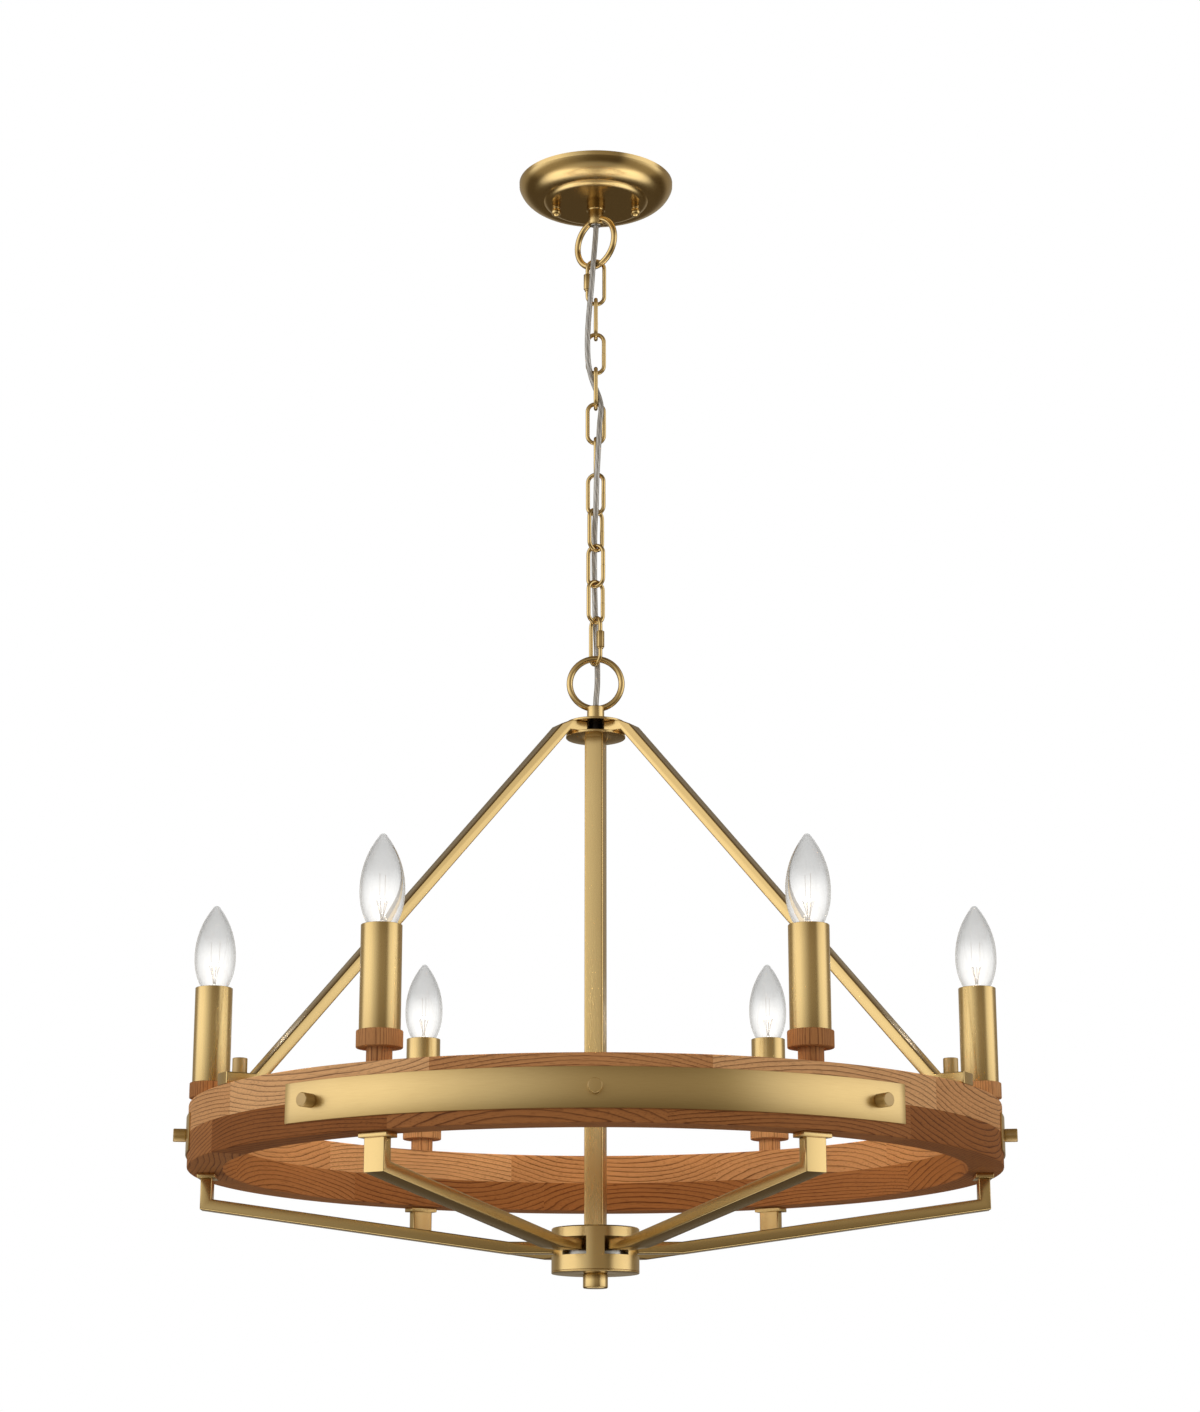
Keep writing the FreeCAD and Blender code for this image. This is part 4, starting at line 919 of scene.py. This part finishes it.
def lower_arm_outline():
    """Stub inside the hub, the slope up and the leg under the rim."""
    start, bend, corner_z = 20.0, 73.0, -937.6
    low, high = heights("lower_arm_1")
    hub_z = low + ARM_TALL / 2
    slope = math.atan2(corner_z - hub_z, MIDDLE_RADIUS - bend)
    return bar_outline([(start, hub_z, math.pi / 2), (bend, hub_z, 0.0),
                        (MIDDLE_RADIUS, corner_z, slope),
                        (MIDDLE_RADIUS, corner_z, math.pi / 2), (MIDDLE_RADIUS, high, 0.0)])


class CHANDELIER_OT_arms(bpy.types.Operator):
    """Three bent arms above the rim and six below it, all of one rectangular tube"""
    bl_idname = "chandelier.arms"
    bl_label = "Arms"

    def execute(self, context):
        for kind, outline, angles in (("upper", upper_arm_outline(), ARM_ANGLES),
                                      ("lower", lower_arm_outline(), CANDLE_ANGLES)):
            for n, angle in enumerate(angles, 1):
                bm = bent_bar(outline, ARM_WIDE, sizes().arm_edge)
                place(bm, turned(angle))
                brass(f"{kind}_arm_{n}_tube", bm, f"{kind}_arm_{n}")
        low, high = heights("arm_plates")
        bm = box(15, 26, high - low)
        round_edges(bm, sizes().plate_edge)
        copies(bm, [turned(a, MIDDLE_RADIUS, (low + high) / 2) for a in CANDLE_ANGLES])
        brass("arm_end_plates", bm, "arm_plates")
        return {"FINISHED"}


class CHANDELIER_OT_post(bpy.types.Operator):
    """Square centre post with its pressed tube corners"""
    bl_idname = "chandelier.post"
    bl_label = "Centre post"

    def execute(self, context):
        side, turn = 16.5, -13
        low, high = heights("centre_post")
        bm = box(side, side, high - low)
        round_edges(bm, 1.6 * MM, segments=5,
                    test=lambda e: abs(e.verts[0].co.z - e.verts[1].co.z) > 0.1)
        place(bm, turned(turn, 0, (low + high) / 2))
        brass("centre_post_tube", bm, "centre_post", look="drawn_brass")
        return {"FINISHED"}


class CHANDELIER_OT_lower_hub(bpy.types.Operator):
    """Pierced drum that takes the lower arms, its cover and the finial"""
    bl_idname = "chandelier.lower_hub"
    bl_label = "Lower hub"

    def execute(self, context):
        dress("satin_brass", "lower_hub")
        dress("zinc_steel", "spider_plate", "arm_screws")
        bm = turned_part(TUBE_RADIUS, 37, *heights("hub_cover"), 0.5 * MM, steps=96)
        brass("hub_cover_disc", bm, "hub_cover")
        bm = turned_part(0, 10.5, *heights("finial"), 1.2 * MM, 4)
        brass("finial_knob", bm, "finial")
        return {"FINISHED"}


# ---- rim ----

class CHANDELIER_OT_rim(bpy.types.Operator):
    """Wood rim of two glued courses of ten staves"""
    bl_idname = "chandelier.rim"
    bl_label = "Rim"

    staves = 10

    def execute(self, context):
        self.course("rim_upper_staves", "rim_upper_course", 32.8, 11, (0.4, 1.0), True)
        # The lower course is given a darker range of tones than the upper one.
        self.course("rim_lower_staves", "rim_lower_course", 27.0, 23, (-0.30, 0.15), False)
        return {"FINISHED"}

    def course(self, name, node, first, seed, tones, top):
        """One ring of staves from a first joint on, each with its own board and tone."""
        low, high = heights(node)
        sweep = 360 / self.staves
        bm = swept_bar(RIM_RADIUS - RIM_WIDTH, RIM_RADIUS, low, high, sweep, 30)
        place(bm, turned(-sweep / 2))
        level = (high if top else low) * MM

        def long_edge(e):
            return (all(abs(v.co.z - level) < 1e-6 for v in e.verts)
                    and abs(e.verts[0].co.xy.length - e.verts[1].co.xy.length) < 1e-5)

        round_edges(bm, sizes().stave_edge, test=long_edge)
        copies(bm, [turned(first + sweep * (n + 0.5)) for n in range(self.staves)],
               self.grains(random.Random(seed), (low + high) / 2, tones))
        finish_piece(name, bm, "rim_wood", "light_frame", (node,))

    def grains(self, rng, middle, tones):
        """Where each stave lies in its board: along X, with the pith some way off at a lean."""
        made = []
        for _ in range(self.staves):
            lean = math.radians(rng.uniform(34, 76)) * rng.choice((-1, 1))
            pith = rng.uniform(60, 190) * MM
            along = rng.uniform(-3, 3)
            tone = rng.uniform(*tones)
            flip = rng.choice((-1, 1))
            made.append((Matrix((
                (0, flip, 0, along),
                (1, 0, 0, -RIM_RADIUS * MM - pith * math.cos(lean)),
                (0, 0, 1, -middle * MM + pith * math.sin(lean)),
                (0, 0, 0, 1))), tone))
        return made


class CHANDELIER_OT_bands(bpy.types.Operator):
    """Three brass bands round the rim and all the round knobs"""
    bl_idname = "chandelier.bands"
    bl_label = "Bands and knobs"

    thick, sweep, knob_step = 1.5, 87.6, 39

    def execute(self, context):
        low, high = heights("brass_bands")
        outer = RIM_RADIUS + self.thick
        bm = swept_bar(RIM_RADIUS, outer, low, high, self.sweep, 72)
        round_edges(bm, 0.4 * MM, least=60, segments=2)
        copies(bm, [turned(a - self.sweep / 2) for a in BAND_ANGLES])
        brass("band_strips", bm, "brass_bands", look="brushed_band")
        lying = Matrix.Rotation(math.radians(90), 4, "Y")
        places = [turned(a + step, outer, (low + high) / 2) @ lying
                  for a in BAND_ANGLES for step in (-self.knob_step, 0, self.knob_step)]
        self.knobs("band_round_knobs", "band_knobs", 11.0, 10.5, places)
        places = [turned(a, MIDDLE_RADIUS, RIM_TOP + ARM_TALL) for a in ARM_ANGLES]
        self.knobs("arm_round_knobs", "arm_knobs", 12.0, 12.5, places)
        return {"FINISHED"}

    def knobs(self, name, node, diameter, length, places):
        bm = turned_part(0, diameter / 2, 0, length, 0.7 * MM, 4, 48)
        copies(bm, places)
        brass(name, bm, node, look="turned_brass")


# ---- candle lights ----

class CHANDELIER_OT_candles(bpy.types.Operator):
    """Wood cups, brass candle sleeves and the sockets inside them"""
    bl_idname = "chandelier.candles"
    bl_label = "Candle holders"

    sleeve_radius, sleeve_wall = 16.0, 1.0
    cup_bore, cup_neck, cup_radius, neck_height = 5.0, 10.05, 18.05, 11.7

    def execute(self, context):
        self.cups()
        bm = turned_part(self.sleeve_radius - self.sleeve_wall, self.sleeve_radius,
                         *heights("candle_sleeves"), 0.35 * MM, steps=72)
        copies(bm, [turned(a, MIDDLE_RADIUS) for a in CANDLE_ANGLES])
        brass("brass_sleeves", bm, "candle_sleeves", look="drawn_brass")
        dress("socket_plastic", "candle_sockets")
        dress("zinc_steel", "socket_brackets", "candle_stems")
        return {"FINISHED"}

    def cups(self):
        rng = random.Random(5)
        low, high = heights("candle_cups")
        step = low + self.neck_height
        bm = lathe([(self.cup_bore, low), (self.cup_neck, low), (self.cup_neck, step),
                    (self.cup_radius, step), (self.cup_radius, high), (self.cup_bore, high)],
                   64, True)
        round_edges(bm, 0.8 * MM, test=lambda e: e.verts[0].co.xy.length > 0.012)
        grains = []
        for _ in CANDLE_ANGLES:
            turn = rng.uniform(0, 2 * math.pi)
            pith, tone = rng.uniform(30, 70) * MM, rng.uniform(0.1, 0.7)
            grains.append((Matrix((
                (0, 0, 1, 0),
                (math.cos(turn), -math.sin(turn), 0, pith),
                (math.sin(turn), math.cos(turn), 0, 0),
                (0, 0, 0, 1))), tone))
        copies(bm, [turned(a, MIDDLE_RADIUS) for a in CANDLE_ANGLES], grains)
        finish_piece("wood_cups", bm, "cup_wood", "light_frame", ("candle_cups",))


def through(start, middle, end, steps):
    """Points on the arc through three (radius, height) points, without the last."""
    (x1, y1), (x2, y2), (x3, y3) = start, middle, end
    d = 2 * (x1 * (y2 - y3) + x2 * (y3 - y1) + x3 * (y1 - y2))
    s1, s2, s3 = x1 * x1 + y1 * y1, x2 * x2 + y2 * y2, x3 * x3 + y3 * y3
    centre = Vector(((s1 * (y2 - y3) + s2 * (y3 - y1) + s3 * (y1 - y2)) / d,
                     (s1 * (x3 - x2) + s2 * (x1 - x3) + s3 * (x2 - x1)) / d))
    arm = Vector(start) - centre
    whole = arm.angle_signed(Vector(end) - centre)
    return [tuple(centre + Matrix.Rotation(-whole * n / steps, 2) @ arm) for n in range(steps)]


def bulb_outline():
    """Flame shape over the top of the sleeve: neck, mouth, belly, shoulder and rounded tip."""
    mouth, wide, tip_radius, height = (11.0, 0.0), (17.6, 26.0), 3.6, 72.0
    slope = math.radians(20)
    middle = (slope + math.pi / 2) / 2
    tip = [(tip_radius * math.cos(a), height - tip_radius + tip_radius * math.sin(a))
           for a in (slope, middle)]
    return ([(6.3, -7.8), (6.3, -6.2)] + through(mouth, (16.2, 13.5), wide, 6)
            + through(wide, (14.25, 48.7), tip[0], 10)
            + through(tip[0], tip[1], (0.0001, height), 4) + [(0, height)])


class CHANDELIER_OT_bulbs(bpy.types.Operator):
    """Six clear flame bulbs with a glass stem, lead wires and a lit filament"""
    bl_idname = "chandelier.bulbs"
    bl_label = "Bulbs"

    # Half sections over the top of the sleeve, and the lines of the wires, in mm.
    cap = [(0, -27), (3, -27), (3.2, -25), (5.95, -24.4), (5.95, -8.4), (0, -8.4)]
    stem = [(0, -8), (4.6, -8), (3.2, -4), (2.0, 0), (1.5, 4), (0.8, 5.5), (0, 5.8)]
    tall_wire = [(1.0, 4), (2.2, 12), (3.6, 26), (3.8, 40)]
    ring_radius, ring_height, ring_sag = 5.2, 21.0, 0.9
    support_wire = [(0.5, 3.5), (1.4, 8.0), (3.2, 15.0), (ring_radius, ring_height)]
    supports, support_step, first_support = 7, 50, 15
    glow_height = 30

    def execute(self, context):
        for n, angle in enumerate(CANDLE_ANGLES, 1):
            bm = lathe(bulb_outline(), 48)
            glass = self.part(n, "glass", bm, "bulb_glass", "bulb_glass", 60)
            wall = glass.modifiers.new("wall", "SOLIDIFY")
            wall.thickness, wall.offset = 0.8 * MM, -1
            bm = lathe(self.cap, 40)
            round_edges(bm, 0.4 * MM, segments=2)
            self.part(n, "cap", bm, "base_metal")
            bm = lathe(self.stem, 24)
            self.part(n, "stem", bm, "bulb_glass", sharp=60)
            self.wires(n)
            spot = turned(angle, MIDDLE_RADIUS, SLEEVE_TOP + self.glow_height).translation
            light = add_light(f"glow_{n}", "POINT", spot, 1.0)
            light.data.shadow_soft_size, light.data.color = 0.008, colours().lamp
        return {"FINISHED"}

    def part(self, n, kind, bm, look, slot=None, sharp=38.0):
        place(bm, turned(CANDLE_ANGLES[n - 1], MIDDLE_RADIUS, SLEEVE_TOP))
        return finish_piece(f"bulb_{n}_{kind}", bm, look, f"bulb_{n}_body",
                            (f"bulb_{n}",), sharp)

    def wires(self, n):
        """A fan of support wires with the filament hung in a ring between their ends."""
        def spoke(radius, angle, height):
            point = Vector((radius * MM, 0, height * MM))
            return Matrix.Rotation(math.radians(angle), 3, "Z") @ point

        bm = bmesh.new()
        for step in range(self.supports):
            angle = step * self.support_step + self.first_support
            tube_on(bm, [spoke(r, angle, z) for r, z in self.support_wire], 0.34 * MM, 6)
        for side in (-1, 1):
            tube_on(bm, [(side * x * MM, 0, z * MM) for x, z in self.tall_wire], 0.26 * MM, 6)
        self.part(n, "leads", bm, "nickel_wire")
        ring = []
        for step in range(25):
            travel = step * self.support_step / 4
            sag = self.ring_sag * math.sin(math.pi * travel / self.support_step) ** 2
            ring.append(spoke(self.ring_radius, travel + self.first_support,
                              self.ring_height - sag))
        bm = bmesh.new()
        tube_on(bm, ring, sizes().filament, 8)
        self.part(n, "filament", bm, "lit_filament")


PIECES = (CHANDELIER_OT_stage, CHANDELIER_OT_cord, CHANDELIER_OT_canopy, CHANDELIER_OT_loops,
          CHANDELIER_OT_chain, CHANDELIER_OT_quick_links, CHANDELIER_OT_upper_hub,
          CHANDELIER_OT_arms, CHANDELIER_OT_post, CHANDELIER_OT_lower_hub, CHANDELIER_OT_rim,
          CHANDELIER_OT_bands, CHANDELIER_OT_candles, CHANDELIER_OT_bulbs)


class CHANDELIER_PT_panel(bpy.types.Panel):
    bl_label = "Chandelier"
    bl_idname = "CHANDELIER_PT_panel"
    bl_space_type = "VIEW_3D"
    bl_region_type = "UI"
    bl_category = "Chandelier"

    def draw(self, context):
        for group in (context.scene.chandelier_sizes, context.scene.chandelier_colours):
            for name in group.__annotations__:
                self.layout.prop(group, name)
        for piece in PIECES:
            self.layout.operator(piece.bl_idname)


CLASSES = (ChandelierSizes, ChandelierColours, *PIECES, CHANDELIER_PT_panel)


def register():
    for cls in CLASSES:
        bpy.utils.register_class(cls)
    bpy.types.Scene.chandelier_sizes = PointerProperty(type=ChandelierSizes)
    bpy.types.Scene.chandelier_colours = PointerProperty(type=ChandelierColours)


def unregister():
    del bpy.types.Scene.chandelier_colours
    del bpy.types.Scene.chandelier_sizes
    for cls in reversed(CLASSES):
        bpy.utils.unregister_class(cls)


def main():
    register()
    for piece in PIECES:
        group, name = piece.bl_idname.split(".")
        getattr(getattr(bpy.ops, group), name)()


if __name__ == "__main__":
    main()
